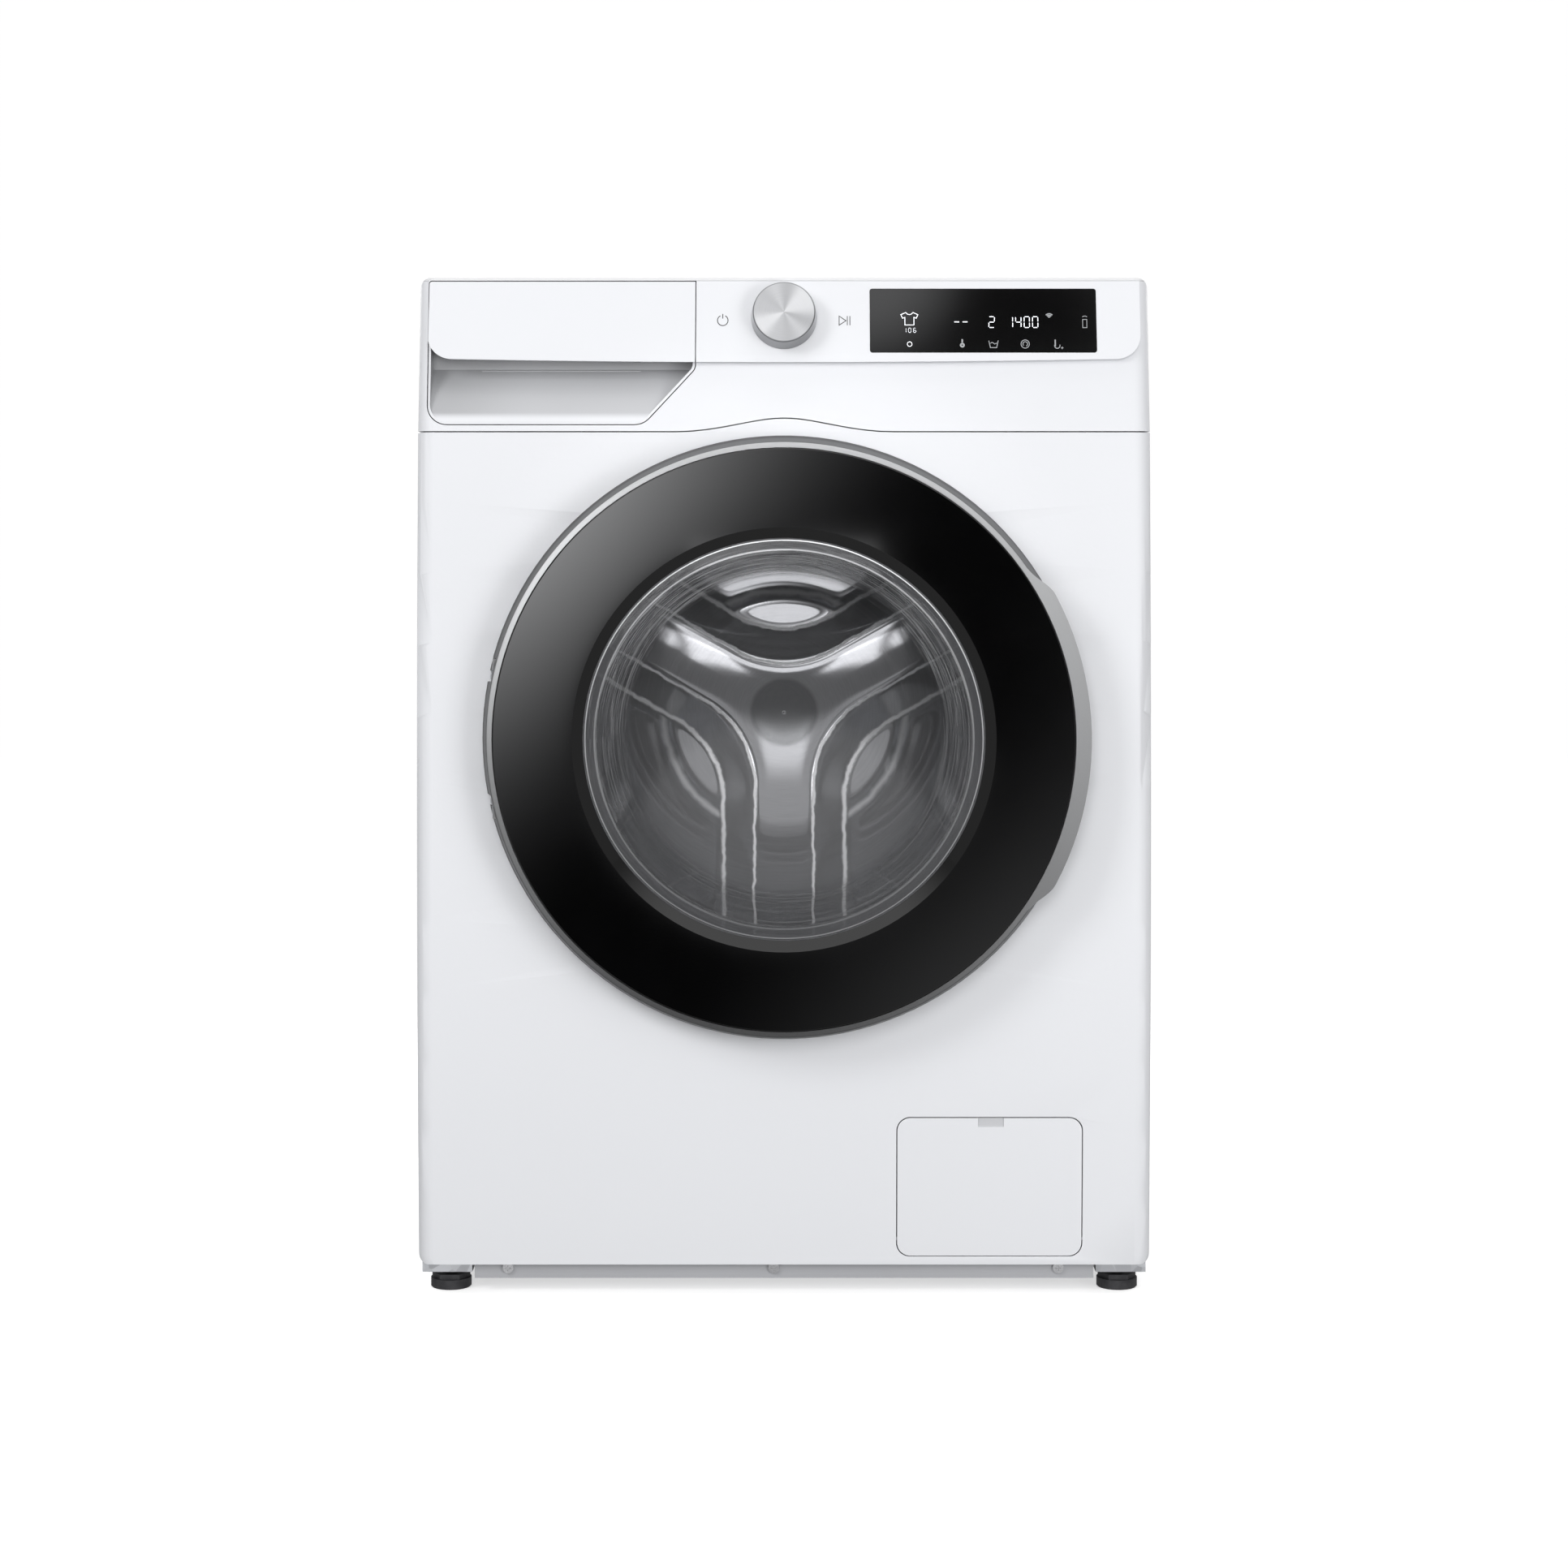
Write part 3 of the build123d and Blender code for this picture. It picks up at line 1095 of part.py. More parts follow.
# Inner frame on the door's back, which clamps the bowl and carries the hook
INNER_FRAME_Y = (-291.6, -266)
HOOK_POCKET = (26, 40, 24)
with BuildPart() as door_inner_frame:
    with BuildSketch(RADIAL):
        with BuildLine():
            Polyline(
                (BOWL_R + 0.4, INNER_FRAME_Y[0]),
                (FRAME_INNER_R - 0.3, INNER_FRAME_Y[0]),
                (FRAME_INNER_R - 0.3, INNER_FRAME_Y[1] - 3),
                (FRAME_INNER_R - 4, INNER_FRAME_Y[1]),
                (BOWL_R + 6, INNER_FRAME_Y[1]),
                (BOWL_R + 0.4, INNER_FRAME_Y[1] - 5),
                close=True,
            )
        make_face()
    revolve(axis=DRUM_AXIS)
    with Locations((HOOK_X, INNER_FRAME_Y[1] - HOOK_POCKET[2] / 2 + 5, AXIS_Z)):
        Box(HOOK_POCKET[0], HOOK_POCKET[2] + 10, HOOK_POCKET[1], mode=Mode.SUBTRACT)
    with Locations((HOOK_X, HOOK_PIVOT_Y, AXIS_Z)):
        Cylinder(HINGE_PIN_R + RUN_GAP, HOOK_POCKET[1] + 16, mode=Mode.SUBTRACT)
    for ear_z in (-HINGE_EAR_Z, HINGE_EAR_Z):
        with Locations((HINGE_X, -265, AXIS_Z + ear_z)):
            Box(50, 54, EAR_SLOT, mode=Mode.SUBTRACT)
door_inner_frame.part.label = "door_inner_frame"
export_step(door_inner_frame.part, "parts/door_inner_frame.step")

# Door hook on its cross pin
HOOK_TIP_Y = -234
HOOK_THICK = 12
with BuildPart() as door_hook:
    with BuildSketch(Plane.XY.offset(AXIS_Z - HOOK_THICK / 2)):
        with Locations((HOOK_X, HOOK_PIVOT_Y)):
            Circle(6)
        with Locations((HOOK_X, (HOOK_PIVOT_Y + HOOK_TIP_Y) / 2)):
            Rectangle(6, HOOK_TIP_Y - HOOK_PIVOT_Y)
        with Locations((HOOK_X + 1.5, HOOK_TIP_Y - 3)):
            Rectangle(8, 6)
    extrude(amount=HOOK_THICK)
    with Locations((HOOK_X, HOOK_PIVOT_Y, AXIS_Z)):
        Cylinder(HINGE_PIN_R, HOOK_POCKET[1] + 14)
door_hook.part.label = "door_hook"
export_step(door_hook.part, "parts/door_hook.step")

# Door gasket: a folded rubber sleeve from the front panel's lip to the tub's neck
NECK_R = 178
GASKET_WALL = 5
GASKET_FRONT_Y = -258
GASKET_FOLD_Y = (-240.5, -236.5, -233.5, -229)
GASKET_FOLD_R = 194
GASKET_INNER_R = 166
GASKET_TAIL_Y = -213
with BuildPart() as door_gasket:
    with BuildSketch(RADIAL):
        with BuildLine():
            Polyline(
                (GASKET_INNER_R, GASKET_FRONT_Y),
                (OPENING_R - LIP_WALL - 0.5, GASKET_FRONT_Y),
                (OPENING_R - LIP_WALL - 0.5, GASKET_FOLD_Y[0]),
                (GASKET_FOLD_R, GASKET_FOLD_Y[0]),
                (GASKET_FOLD_R, GASKET_FOLD_Y[3]),
                (NECK_R - 0.5, GASKET_FOLD_Y[3]),
                (NECK_R - 0.5, GASKET_TAIL_Y),
                (NECK_R - 0.5 - GASKET_WALL, GASKET_TAIL_Y),
                (NECK_R - 0.5 - GASKET_WALL, GASKET_FOLD_Y[2]),
                (GASKET_FOLD_R - GASKET_WALL, GASKET_FOLD_Y[2]),
                (GASKET_FOLD_R - GASKET_WALL, GASKET_FOLD_Y[1]),
                (GASKET_INNER_R, GASKET_FOLD_Y[1]),
                close=True,
            )
        make_face()
    revolve(axis=DRUM_AXIS)
door_gasket.part.label = "door_gasket"
export_step(door_gasket.part, "parts/door_gasket.step")

# Front half of the tub, with the neck that takes the gasket
TUB_OUTER_R = TUB_R + TUB_WALL
RIM_R = TUB_OUTER_R + 12
RIM_DEPTH = 6
NECK_FRONT_Y = -228
with BuildPart() as tub_front:
    with BuildSketch(RADIAL):
        with BuildLine():
            Polyline(
                (TUB_R, TUB_SPLIT_Y),
                (RIM_R, TUB_SPLIT_Y),
                (RIM_R, TUB_SPLIT_Y - RIM_DEPTH),
                (TUB_OUTER_R, TUB_SPLIT_Y - RIM_DEPTH),
                (TUB_OUTER_R, TUB_FRONT_Y),
                (NECK_R + 4, TUB_FRONT_Y),
                (NECK_R + 4, NECK_FRONT_Y),
                (NECK_R, NECK_FRONT_Y),
                (NECK_R, TUB_FRONT_Y + TUB_WALL),
                (TUB_R, TUB_FRONT_Y + TUB_WALL),
                close=True,
            )
        make_face()
    revolve(axis=DRUM_AXIS)
tub_front.part.label = "tub_front"
export_step(tub_front.part, "parts/tub_front.step")

# Rear half of the tub, with the bearing hub, ribs, sump, inlet and the lugs of what hangs on it
HUB_R = 52
HUB_Y = (130, 190)
HUB_RIBS = 12
RIB_LENGTH = 196
SUMP_X = 80
SUMP_Y = (-34, TUB_BACK_Y + TUB_WALL)
SUMP_Z = (178, 262)
SUMP_OUT = (40, -5)
SUMP_OUT_Z = 158
HEATER_X = 30
HEATER_Z = 195
HEATER_R = 4
MOTOR_LUG_Z = 176
sump_middle = (0, sum(SUMP_Y) / 2, sum(SUMP_Z) / 2)
with BuildPart() as tub_rear:
    with BuildSketch(RADIAL):
        with BuildLine():
            Polyline(
                (TUB_R, TUB_SPLIT_Y),
                (RIM_R, TUB_SPLIT_Y),
                (RIM_R, TUB_SPLIT_Y + RIM_DEPTH),
                (TUB_OUTER_R, TUB_SPLIT_Y + RIM_DEPTH),
                (TUB_OUTER_R, TUB_BACK_Y + TUB_WALL),
                (HUB_R, TUB_BACK_Y + TUB_WALL),
                (HUB_R, HUB_Y[1]),
                (BEARING_R, HUB_Y[1]),
                (BEARING_R, HUB_Y[0]),
                (HUB_R, HUB_Y[0]),
                (HUB_R, TUB_BACK_Y),
                (TUB_R, TUB_BACK_Y),
                close=True,
            )
        make_face()
    revolve(axis=DRUM_AXIS)
    with BuildSketch(facing(HUB_Y[1] - 20)):
        with Locations((0, AXIS_Z)):
            with PolarLocations(HUB_R - 2 + RIB_LENGTH / 2, HUB_RIBS):
                Rectangle(RIB_LENGTH, 4)
    extrude(amount=HUB_Y[1] - 20 - TUB_BACK_Y - 1)
    with Locations(sump_middle):
        Box(2 * SUMP_X, SUMP_Y[1] - SUMP_Y[0], SUMP_Z[1] - SUMP_Z[0])
    for side in (-1, 1):
        with Locations((side * 245, SPRING_Y, EAR_Z - 4)):
            Box(70, 22, 8)
        with Locations((side * DAMPER_TOP_X, 0, DAMPER_Z[1] + 22)):
            Box(20, 22, 32)
    with BuildSketch(Plane.XY.offset(640)):
        with Locations(OUTLET_PLACE):
            Circle(SPIGOT_R)
    extrude(amount=48)
    with Locations((MOTOR_X, 152, MOTOR_LUG_Z + 28)):
        Box(50, 26, 56)
    with Locations((0, sump_middle[1], sump_middle[2] + TUB_WALL)):
        Box(
            2 * (SUMP_X - TUB_WALL),
            SUMP_Y[1] - SUMP_Y[0] - 2 * TUB_WALL,
            SUMP_Z[1] - SUMP_Z[0],
            mode=Mode.SUBTRACT,
        )
    with BuildSketch(facing(TUB_BACK_Y)):
        with Locations((0, AXIS_Z)):
            Circle(TUB_R)
            Circle(HUB_R, mode=Mode.SUBTRACT)
    extrude(amount=TUB_BACK_Y - TUB_SPLIT_Y, mode=Mode.SUBTRACT)
    with BuildSketch(Plane.XY.offset(SUMP_OUT_Z)):
        with Locations(SUMP_OUT):
            Circle(SPIGOT_R)
    extrude(amount=SUMP_Z[0] + TUB_WALL - SUMP_OUT_Z)
    with BuildSketch(Plane.XY.offset(SUMP_OUT_Z)):
        with Locations(SUMP_OUT):
            Circle(SPIGOT_R - 2)
    extrude(amount=SUMP_Z[0] + 2 * TUB_WALL - SUMP_OUT_Z, mode=Mode.SUBTRACT)
    with BuildSketch(Plane.XY.offset(620)):
        with Locations(OUTLET_PLACE):
            Circle(SPIGOT_R - 2)
    extrude(amount=80, mode=Mode.SUBTRACT)
    with BuildSketch(facing(TUB_BACK_Y + 20)):
        with Locations((-HEATER_X, HEATER_Z), (HEATER_X, HEATER_Z)):
            Circle(HEATER_R + 0.3)
    extrude(amount=40, mode=Mode.SUBTRACT)
tub_rear.part.label = "tub_rear"
export_step(tub_rear.part, "parts/tub_rear.step")

# Bolts that clamp the tub's two halves together
with BuildPart() as tub_bolts:
    with BuildSketch(facing(TUB_SPLIT_Y - RIM_DEPTH)):
        with Locations((0, AXIS_Z)):
            with PolarLocations(TUB_OUTER_R + 6, 16, start_angle=360 / 32):
                RegularPolygon(4.5, 6)
    extrude(amount=5)
tub_bolts.part.label = "tub_bolts"
export_step(tub_bolts.part, "parts/tub_bolts.step")

# Counterweights: one cast on the tub's top and one round the lower front
WEIGHT_X = (-50, 190)
WEIGHT_Y = (-140, -60)
WEIGHT_TOP_Z = 762
FRONT_WEIGHT_Y = (-244, -219)
FRONT_WEIGHT_R = (202, 256)
with BuildPart() as counterweights:
    with BuildSketch(facing(WEIGHT_Y[1])):
        with BuildLine():
            Polyline(
                (WEIGHT_X[0], AXIS_Z + 180),
                (WEIGHT_X[0], WEIGHT_TOP_Z),
                (WEIGHT_X[1] - 60, WEIGHT_TOP_Z),
                (WEIGHT_X[1], WEIGHT_TOP_Z - 50),
                (WEIGHT_X[1], AXIS_Z + 180),
                close=True,
            )
        make_face()
        with Locations((0, AXIS_Z)):
            Circle(TUB_OUTER_R + 1, mode=Mode.SUBTRACT)
    extrude(amount=WEIGHT_Y[1] - WEIGHT_Y[0])
    with BuildSketch(facing(FRONT_WEIGHT_Y[1])):
        with BuildLine():
            ThreePointArc(*[polar(FRONT_WEIGHT_R[1], angle) for angle in (205, 270, 335)])
            Line(polar(FRONT_WEIGHT_R[1], 335), polar(FRONT_WEIGHT_R[0], 335))
            ThreePointArc(*[polar(FRONT_WEIGHT_R[0], angle) for angle in (335, 270, 205)])
            Line(polar(FRONT_WEIGHT_R[0], 205), polar(FRONT_WEIGHT_R[1], 205))
        make_face()
    extrude(amount=FRONT_WEIGHT_Y[1] - FRONT_WEIGHT_Y[0])
counterweights.part.label = "counterweights"
export_step(counterweights.part, "parts/counterweights.step")

# Heater: a looped rod in the sump with its flange outside the tub
HEATER_FRONT_Y = 12
heater_back_y = TUB_BACK_Y + TUB_WALL + 12
with BuildPart() as heater:
    with BuildLine() as heater_path:
        heater_left = Line((-HEATER_X, heater_back_y, HEATER_Z), (-HEATER_X, HEATER_FRONT_Y, HEATER_Z))
        ThreePointArc(
            heater_left @ 1,
            (0, HEATER_FRONT_Y - HEATER_X, HEATER_Z),
            (HEATER_X, HEATER_FRONT_Y, HEATER_Z),
        )
        Line((HEATER_X, HEATER_FRONT_Y, HEATER_Z), (HEATER_X, heater_back_y, HEATER_Z))
    with BuildSketch(facing(heater_back_y)):
        with Locations((-HEATER_X, HEATER_Z)):
            Circle(HEATER_R)
    sweep(path=heater_path.wires()[0])
    with BuildSketch(facing(heater_back_y - 2)):
        with Locations((0, HEATER_Z)):
            RectangleRounded(2 * HEATER_X + 20, 20, 6)
    extrude(amount=6)
heater.part.label = "heater"
export_step(heater.part, "parts/heater.step")

# Two bearings in the hub and the seal in front of them
BEARING_Y = ((140, 156), (172, 188))
with BuildPart() as drum_bearings:
    for start_y, end_y in BEARING_Y:
        with BuildSketch(facing(end_y)):
            with Locations((0, AXIS_Z)):
                Circle(BEARING_R)
                Circle(SHAFT_R + RUN_GAP, mode=Mode.SUBTRACT)
        extrude(amount=end_y - start_y)
    with BuildSketch(facing(BEARING_Y[0][0] - 0.5)):
        with Locations((0, AXIS_Z)):
            Circle(BEARING_R)
            Circle(SHAFT_R + 0.4, mode=Mode.SUBTRACT)
    extrude(amount=BEARING_Y[0][0] - HUB_Y[0] - 0.5)
drum_bearings.part.label = "drum_bearings"
export_step(drum_bearings.part, "parts/drum_bearings.step")

# Motor slung under the tub
MOTOR_Y = (72, 180)
MOTOR_SHAFT_R = 6
with BuildPart() as motor:
    with BuildSketch(facing(MOTOR_Y[1])):
        with Locations((MOTOR_X, MOTOR_Z)):
            Circle(MOTOR_R)
    extrude(amount=MOTOR_Y[1] - MOTOR_Y[0])
    fillet(motor.edges().filter_by(GeomType.CIRCLE), 6)
    with Locations((MOTOR_X, 152, MOTOR_LUG_Z - 8)):
        Box(44, 22, 16)
    with BuildSketch(facing(MOTOR_Y[1])):
        with Locations((MOTOR_X, MOTOR_Z)):
            Circle(MOTOR_SHAFT_R + RUN_GAP)
    extrude(amount=80, mode=Mode.SUBTRACT)
motor.part.label = "motor"
export_step(motor.part, "parts/motor.step")

with BuildPart() as motor_pulley:
    with BuildSketch(facing(BELT_Y + BELT_WIDTH + 4)):
        with Locations((MOTOR_X, MOTOR_Z)):
            Circle(MOTOR_SHAFT_R)
    extrude(amount=BELT_Y + BELT_WIDTH + 4 - MOTOR_Y[1] + 76)
    with BuildSketch(facing(BELT_Y + BELT_WIDTH + 1)):
        with Locations((MOTOR_X, MOTOR_Z)):
            Circle(MOTOR_PULLEY_R)
    extrude(amount=BELT_WIDTH + 2)
motor_pulley.part.label = "motor_pulley"
export_step(motor_pulley.part, "parts/motor_pulley.step")

# Drive belt round both pulleys
BELT_GAP = 0.4
BELT_THICK = 3


def belt_outline(grow):
    """Face inside a loop round both pulleys, grown by grow: two circles and their outer tangents."""
    reach = sqrt(MOTOR_X ** 2 + (AXIS_Z - MOTOR_Z) ** 2)
    base_angle = degrees(atan2(MOTOR_Z - AXIS_Z, MOTOR_X))
    spread = degrees(atan2(sqrt(reach ** 2 - (PULLEY_R - MOTOR_PULLEY_R) ** 2), PULLEY_R - MOTOR_PULLEY_R))
    big = PULLEY_R + grow
    small = MOTOR_PULLEY_R + grow
    sides = [heading(base_angle + spread), heading(base_angle - spread)]
    with BuildSketch(facing(BELT_Y + BELT_WIDTH)) as outline:
        with BuildLine():
            Polyline(
                (big * sides[0][0], AXIS_Z + big * sides[0][1]),
                (MOTOR_X + small * sides[0][0], MOTOR_Z + small * sides[0][1]),
                (MOTOR_X + small * sides[1][0], MOTOR_Z + small * sides[1][1]),
                (big * sides[1][0], AXIS_Z + big * sides[1][1]),
                close=True,
            )
        make_face()
        with Locations((0, AXIS_Z)):
            Circle(big)
        with Locations((MOTOR_X, MOTOR_Z)):
            Circle(small)
    return outline.sketch


belt_outer = belt_outline(BELT_GAP + BELT_THICK)
belt_inner = belt_outline(BELT_GAP)
with BuildPart() as drive_belt:
    extrude(belt_outer, amount=BELT_WIDTH)
    extrude(belt_inner, amount=BELT_WIDTH, mode=Mode.SUBTRACT)
drive_belt.part.label = "drive_belt"
export_step(drive_belt.part, "parts/drive_belt.step")

# Drum pulley on the end of the shaft
with BuildPart() as drum_pulley:
    with BuildSketch(RADIAL):
        with BuildLine():
            Polyline(
                (SHAFT_R - 2, BELT_Y - 6),
                (28, BELT_Y - 6),
                (28, BELT_Y + 4),
                (PULLEY_R - 8, BELT_Y + 6),
                (PULLEY_R - 8, BELT_Y - 1),
                (PULLEY_R, BELT_Y - 1),
                (PULLEY_R, BELT_Y + BELT_WIDTH + 1),
                (PULLEY_R - 8, BELT_Y + BELT_WIDTH + 1),
                (PULLEY_R - 8, BELT_Y + 11),
                (28, BELT_Y + 12),
                (28, BELT_Y + 22),
                (SHAFT_R - 2, BELT_Y + 22),
                close=True,
            )
        make_face()
    revolve(axis=DRUM_AXIS)
    with BuildSketch(facing(BELT_Y + BELT_WIDTH)):
        with Locations((0, AXIS_Z)):
            with PolarLocations(80, 6):
                Circle(30)
    extrude(amount=BELT_WIDTH + 2, mode=Mode.SUBTRACT)
drum_pulley.part.label = "drum_pulley"
export_step(drum_pulley.part, "parts/drum_pulley.step")

# Drum wrapper with its front wall and rolled mouth
DRUM_WALL = 1.2
MOUTH_R = 172
with BuildPart() as drum_shell:
    with BuildSketch(RADIAL):
        with BuildLine():
            Polyline(
                (DRUM_R, DRUM_BACK_Y),
                (DRUM_R, DRUM_FRONT_Y + 14),
                (DRUM_R - 10, DRUM_FRONT_Y),
                (MOUTH_R, DRUM_FRONT_Y),
                (MOUTH_R, DRUM_FRONT_Y + 8),
                (MOUTH_R + DRUM_WALL, DRUM_FRONT_Y + 8),
                (MOUTH_R + DRUM_WALL, DRUM_FRONT_Y + DRUM_WALL),
                (DRUM_R - 10 - DRUM_WALL / 2, DRUM_FRONT_Y + DRUM_WALL),
                (DRUM_R - DRUM_WALL, DRUM_FRONT_Y + 14.5),
                (DRUM_R - DRUM_WALL, DRUM_BACK_Y),
                close=True,
            )
        make_face()
    revolve(axis=DRUM_AXIS)
drum_shell.part.label = "drum_shell"
export_step(drum_shell.part, "parts/drum_shell.step")

# Drum back: a dished plate with a raised three-armed star and hub
STAR_ANGLES = (30, 150, 270)
STAR_R = 205
STEP_R = 109
HUB_DISC_R = 28.6
with BuildPart() as drum_back:
    with BuildSketch(facing(DRUM_BACK_Y)):
        with Locations((0, AXIS_Z)):
            Circle(DRUM_R - DRUM_WALL - 0.1)
    extrude(amount=2)
    with BuildSketch(facing(DRUM_BACK_Y - 2)):
        with Locations((0, AXIS_Z)):
            Circle(STEP_R)
            for angle in STAR_ANGLES:
                with PolarLocations(STAR_R / 2, 1, start_angle=angle):
                    SlotOverall(STAR_R, 58)
    extrude(amount=6, taper=30)
    with BuildSketch(facing(DRUM_BACK_Y - 8)):
        with Locations((0, AXIS_Z)):
            Circle(HUB_DISC_R)
    extrude(amount=5, taper=20)
drum_back.part.label = "drum_back"
export_step(drum_back.part, "parts/drum_back.step")

# Three lifters on the drum's wall
LIFTER_ANGLES = (90, 210, 330)
LIFTER_BASE_R = 235.5
LIFTER_TIP_R = 182
LIFTER_HALF = (30, 11)
LIFTER_Y = (-188, 98)
with BuildPart() as drum_lifters:
    for angle in LIFTER_ANGLES:
        across = heading(angle + 90)
        out = heading(angle)
        corners = [
            (radius * out[0] + side * half * across[0], AXIS_Z + radius * out[1] + side * half * across[1])
            for radius, half, side in (
                (LIFTER_BASE_R, LIFTER_HALF[0], -1),
                (LIFTER_BASE_R, LIFTER_HALF[0], 1),
                (LIFTER_TIP_R, LIFTER_HALF[1], 1),
                (LIFTER_TIP_R, LIFTER_HALF[1], -1),
            )
        ]
        with BuildSketch(facing(LIFTER_Y[1])):
            with BuildLine():
                Polyline(*corners, close=True)
            make_face()
        extrude(amount=LIFTER_Y[1] - LIFTER_Y[0])
    tips = drum_lifters.edges().filter_by(Axis.Y)
    fillet([edge for edge in tips if sqrt(edge.center().X ** 2 + (edge.center().Z - AXIS_Z) ** 2) < 200], 9)
drum_lifters.part.label = "drum_lifters"
export_step(drum_lifters.part, "parts/drum_lifters.step")

# Spider behind the drum with the drum's shaft
SPIDER_Y = (DRUM_BACK_Y, 120)
SHAFT_END_Y = BELT_Y + 22
with BuildPart() as drum_spider:
    with BuildSketch(facing(SPIDER_Y[1])):
        with Locations((0, AXIS_Z)):
            Circle(44)
            for angle in STAR_ANGLES:
                with PolarLocations(118, 1, start_angle=angle):
                    Rectangle(232, 38)
    extrude(amount=SPIDER_Y[1] - SPIDER_Y[0])
    with BuildSketch(facing(BELT_Y - 6)):
        with Locations((0, AXIS_Z)):
            Circle(SHAFT_R)
    extrude(amount=BELT_Y - 6 - SPIDER_Y[1])
    with BuildSketch(facing(SHAFT_END_Y)):
        with Locations((0, AXIS_Z)):
            Circle(SHAFT_R - 2)
    extrude(amount=SHAFT_END_Y - BELT_Y + 6)
drum_spider.part.label = "drum_spider"
export_step(drum_spider.part, "parts/drum_spider.step")

# Suspension springs, as sleeves of their outer size
with BuildPart() as suspension_springs:
    with BuildSketch(Plane.XY.offset(EAR_Z)):
        with Locations((-SPRING_X, SPRING_Y), (SPRING_X, SPRING_Y)):
            Circle(SPRING_R)
            Circle(SPRING_R - 4, mode=Mode.SUBTRACT)
    extrude(amount=HANGER_Z - EAR_Z)
suspension_springs.part.label = "suspension_springs"
export_step(suspension_springs.part, "parts/suspension_springs.step")

# Friction dampers: a cylinder and its rod on each side
DAMPER_R = 13
DAMPER_ROD_R = 6
damper_rise = DAMPER_Z[1] - DAMPER_Z[0]
damper_length = sqrt((DAMPER_FOOT_X - DAMPER_TOP_X) ** 2 + damper_rise ** 2)
with BuildPart() as dampers:
    for side in (-1, 1):
        damper_base = Plane(
            origin=(side * DAMPER_FOOT_X, 0, DAMPER_Z[0]),
            z_dir=(side * (DAMPER_TOP_X - DAMPER_FOOT_X), 0, damper_rise),
        )
        with BuildSketch(damper_base):
            Circle(DAMPER_R)
        extrude(amount=0.62 * damper_length)
        with BuildSketch(damper_base):
            Circle(DAMPER_ROD_R)
        extrude(amount=damper_length)
dampers.part.label = "dampers"
export_step(dampers.part, "parts/dampers.step")

# Hose from the drawer housing down to the tub
with BuildPart() as dispenser_hose:
    with BuildSketch(Plane.XY.offset(674)):
        with Locations(OUTLET_PLACE):
            Circle(SPIGOT_R + HOSE_GAP + HOSE_WALL)
            Circle(SPIGOT_R + HOSE_GAP, mode=Mode.SUBTRACT)
    extrude(amount=HOUSING_Z[0] - 4 - 674)
dispenser_hose.part.label = "dispenser_hose"
export_step(dispenser_hose.part, "parts/dispenser_hose.step")

# Hose from the sump to the pump
sump_points = [
    (*SUMP_OUT, SUMP_Z[0] - 2),
    (*SUMP_OUT, PUMP_Z),
    (SUMP_OUT[0], PUMP_IN_Y, PUMP_Z),
    (PUMP_X - PUMP_R - 1, PUMP_IN_Y, PUMP_Z),
]
with BuildPart() as sump_hose:
    with BuildLine() as sump_path:
        FilletPolyline(*sump_points, radius=40)
    with BuildSketch(Plane.XY.offset(SUMP_Z[0] - 2)):
        with Locations(SUMP_OUT):
            Circle(SPIGOT_R + HOSE_GAP + HOSE_WALL)
            Circle(SPIGOT_R + HOSE_GAP, mode=Mode.SUBTRACT)
    sweep(path=sump_path.wires()[0])
sump_hose.part.label = "sump_hose"
export_step(sump_hose.part, "parts/sump_hose.step")
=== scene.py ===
from math import atan2, cos, pi, radians, sin

import bpy
import numpy as np
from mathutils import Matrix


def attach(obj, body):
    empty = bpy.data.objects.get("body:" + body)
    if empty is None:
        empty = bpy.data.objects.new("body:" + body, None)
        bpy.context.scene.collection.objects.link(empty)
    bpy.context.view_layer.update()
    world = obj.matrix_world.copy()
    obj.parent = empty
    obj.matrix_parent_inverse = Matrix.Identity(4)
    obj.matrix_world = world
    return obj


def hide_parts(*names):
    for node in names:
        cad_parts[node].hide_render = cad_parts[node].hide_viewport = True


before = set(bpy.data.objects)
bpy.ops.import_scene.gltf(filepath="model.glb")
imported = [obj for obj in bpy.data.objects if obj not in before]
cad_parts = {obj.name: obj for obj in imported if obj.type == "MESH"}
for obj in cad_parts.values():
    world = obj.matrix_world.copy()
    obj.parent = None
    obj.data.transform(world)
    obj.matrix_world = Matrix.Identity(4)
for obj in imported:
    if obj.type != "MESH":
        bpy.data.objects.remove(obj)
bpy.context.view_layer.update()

# Places read off the part, in metres: the drum's axis, the lower edge of the leaning band, and the knob's middle
AXIS_Z = 0.4565
BAND_Y, BAND_Z = -0.249, 0.762
BAND_RUN, BAND_RISE = 16, 67.6
BAND_SLOPE = BAND_RUN / BAND_RISE
LEAN = atan2(BAND_RUN, BAND_RISE)
KNOB_Z = 0.799
KNOB_Y = BAND_Y + (KNOB_Z - BAND_Z) * BAND_SLOPE
# Drum back: reach and place of the disc, depth of its pockets, and radius, width and depth of the step across them
DISH_REACH, DISH_Y = 0.2368, 0.0935
POCKET_DEPTH = 0.0062
STEP_RADIUS, STEP_WIDTH, STEP_DEPTH = 0.106, 0.008, 0.0022
# Half width of the drum star's arms and round-off of the pockets between them, at the edge and at the foot
STAR_EDGE, STAR_FOOT = (0.0265, 0.090), (0.056, 0.080)
BOSS_RADIUS = 0.0325
# Middle of the door's mirror image on the card before it, and the brightest light of the cards
MIRROR_Z = 0.182
CARD_PEAK = 8.0
# Camera: how far before the machine and how high, and its focal length, drop and width in the photograph's pixels
CAMERA_Y, CAMERA_Z = -2.853, 0.6235
FOCAL_PIXELS, DROP_PIXELS, PHOTO_PIXELS = 3926, 311, 1932
SENSOR = 36


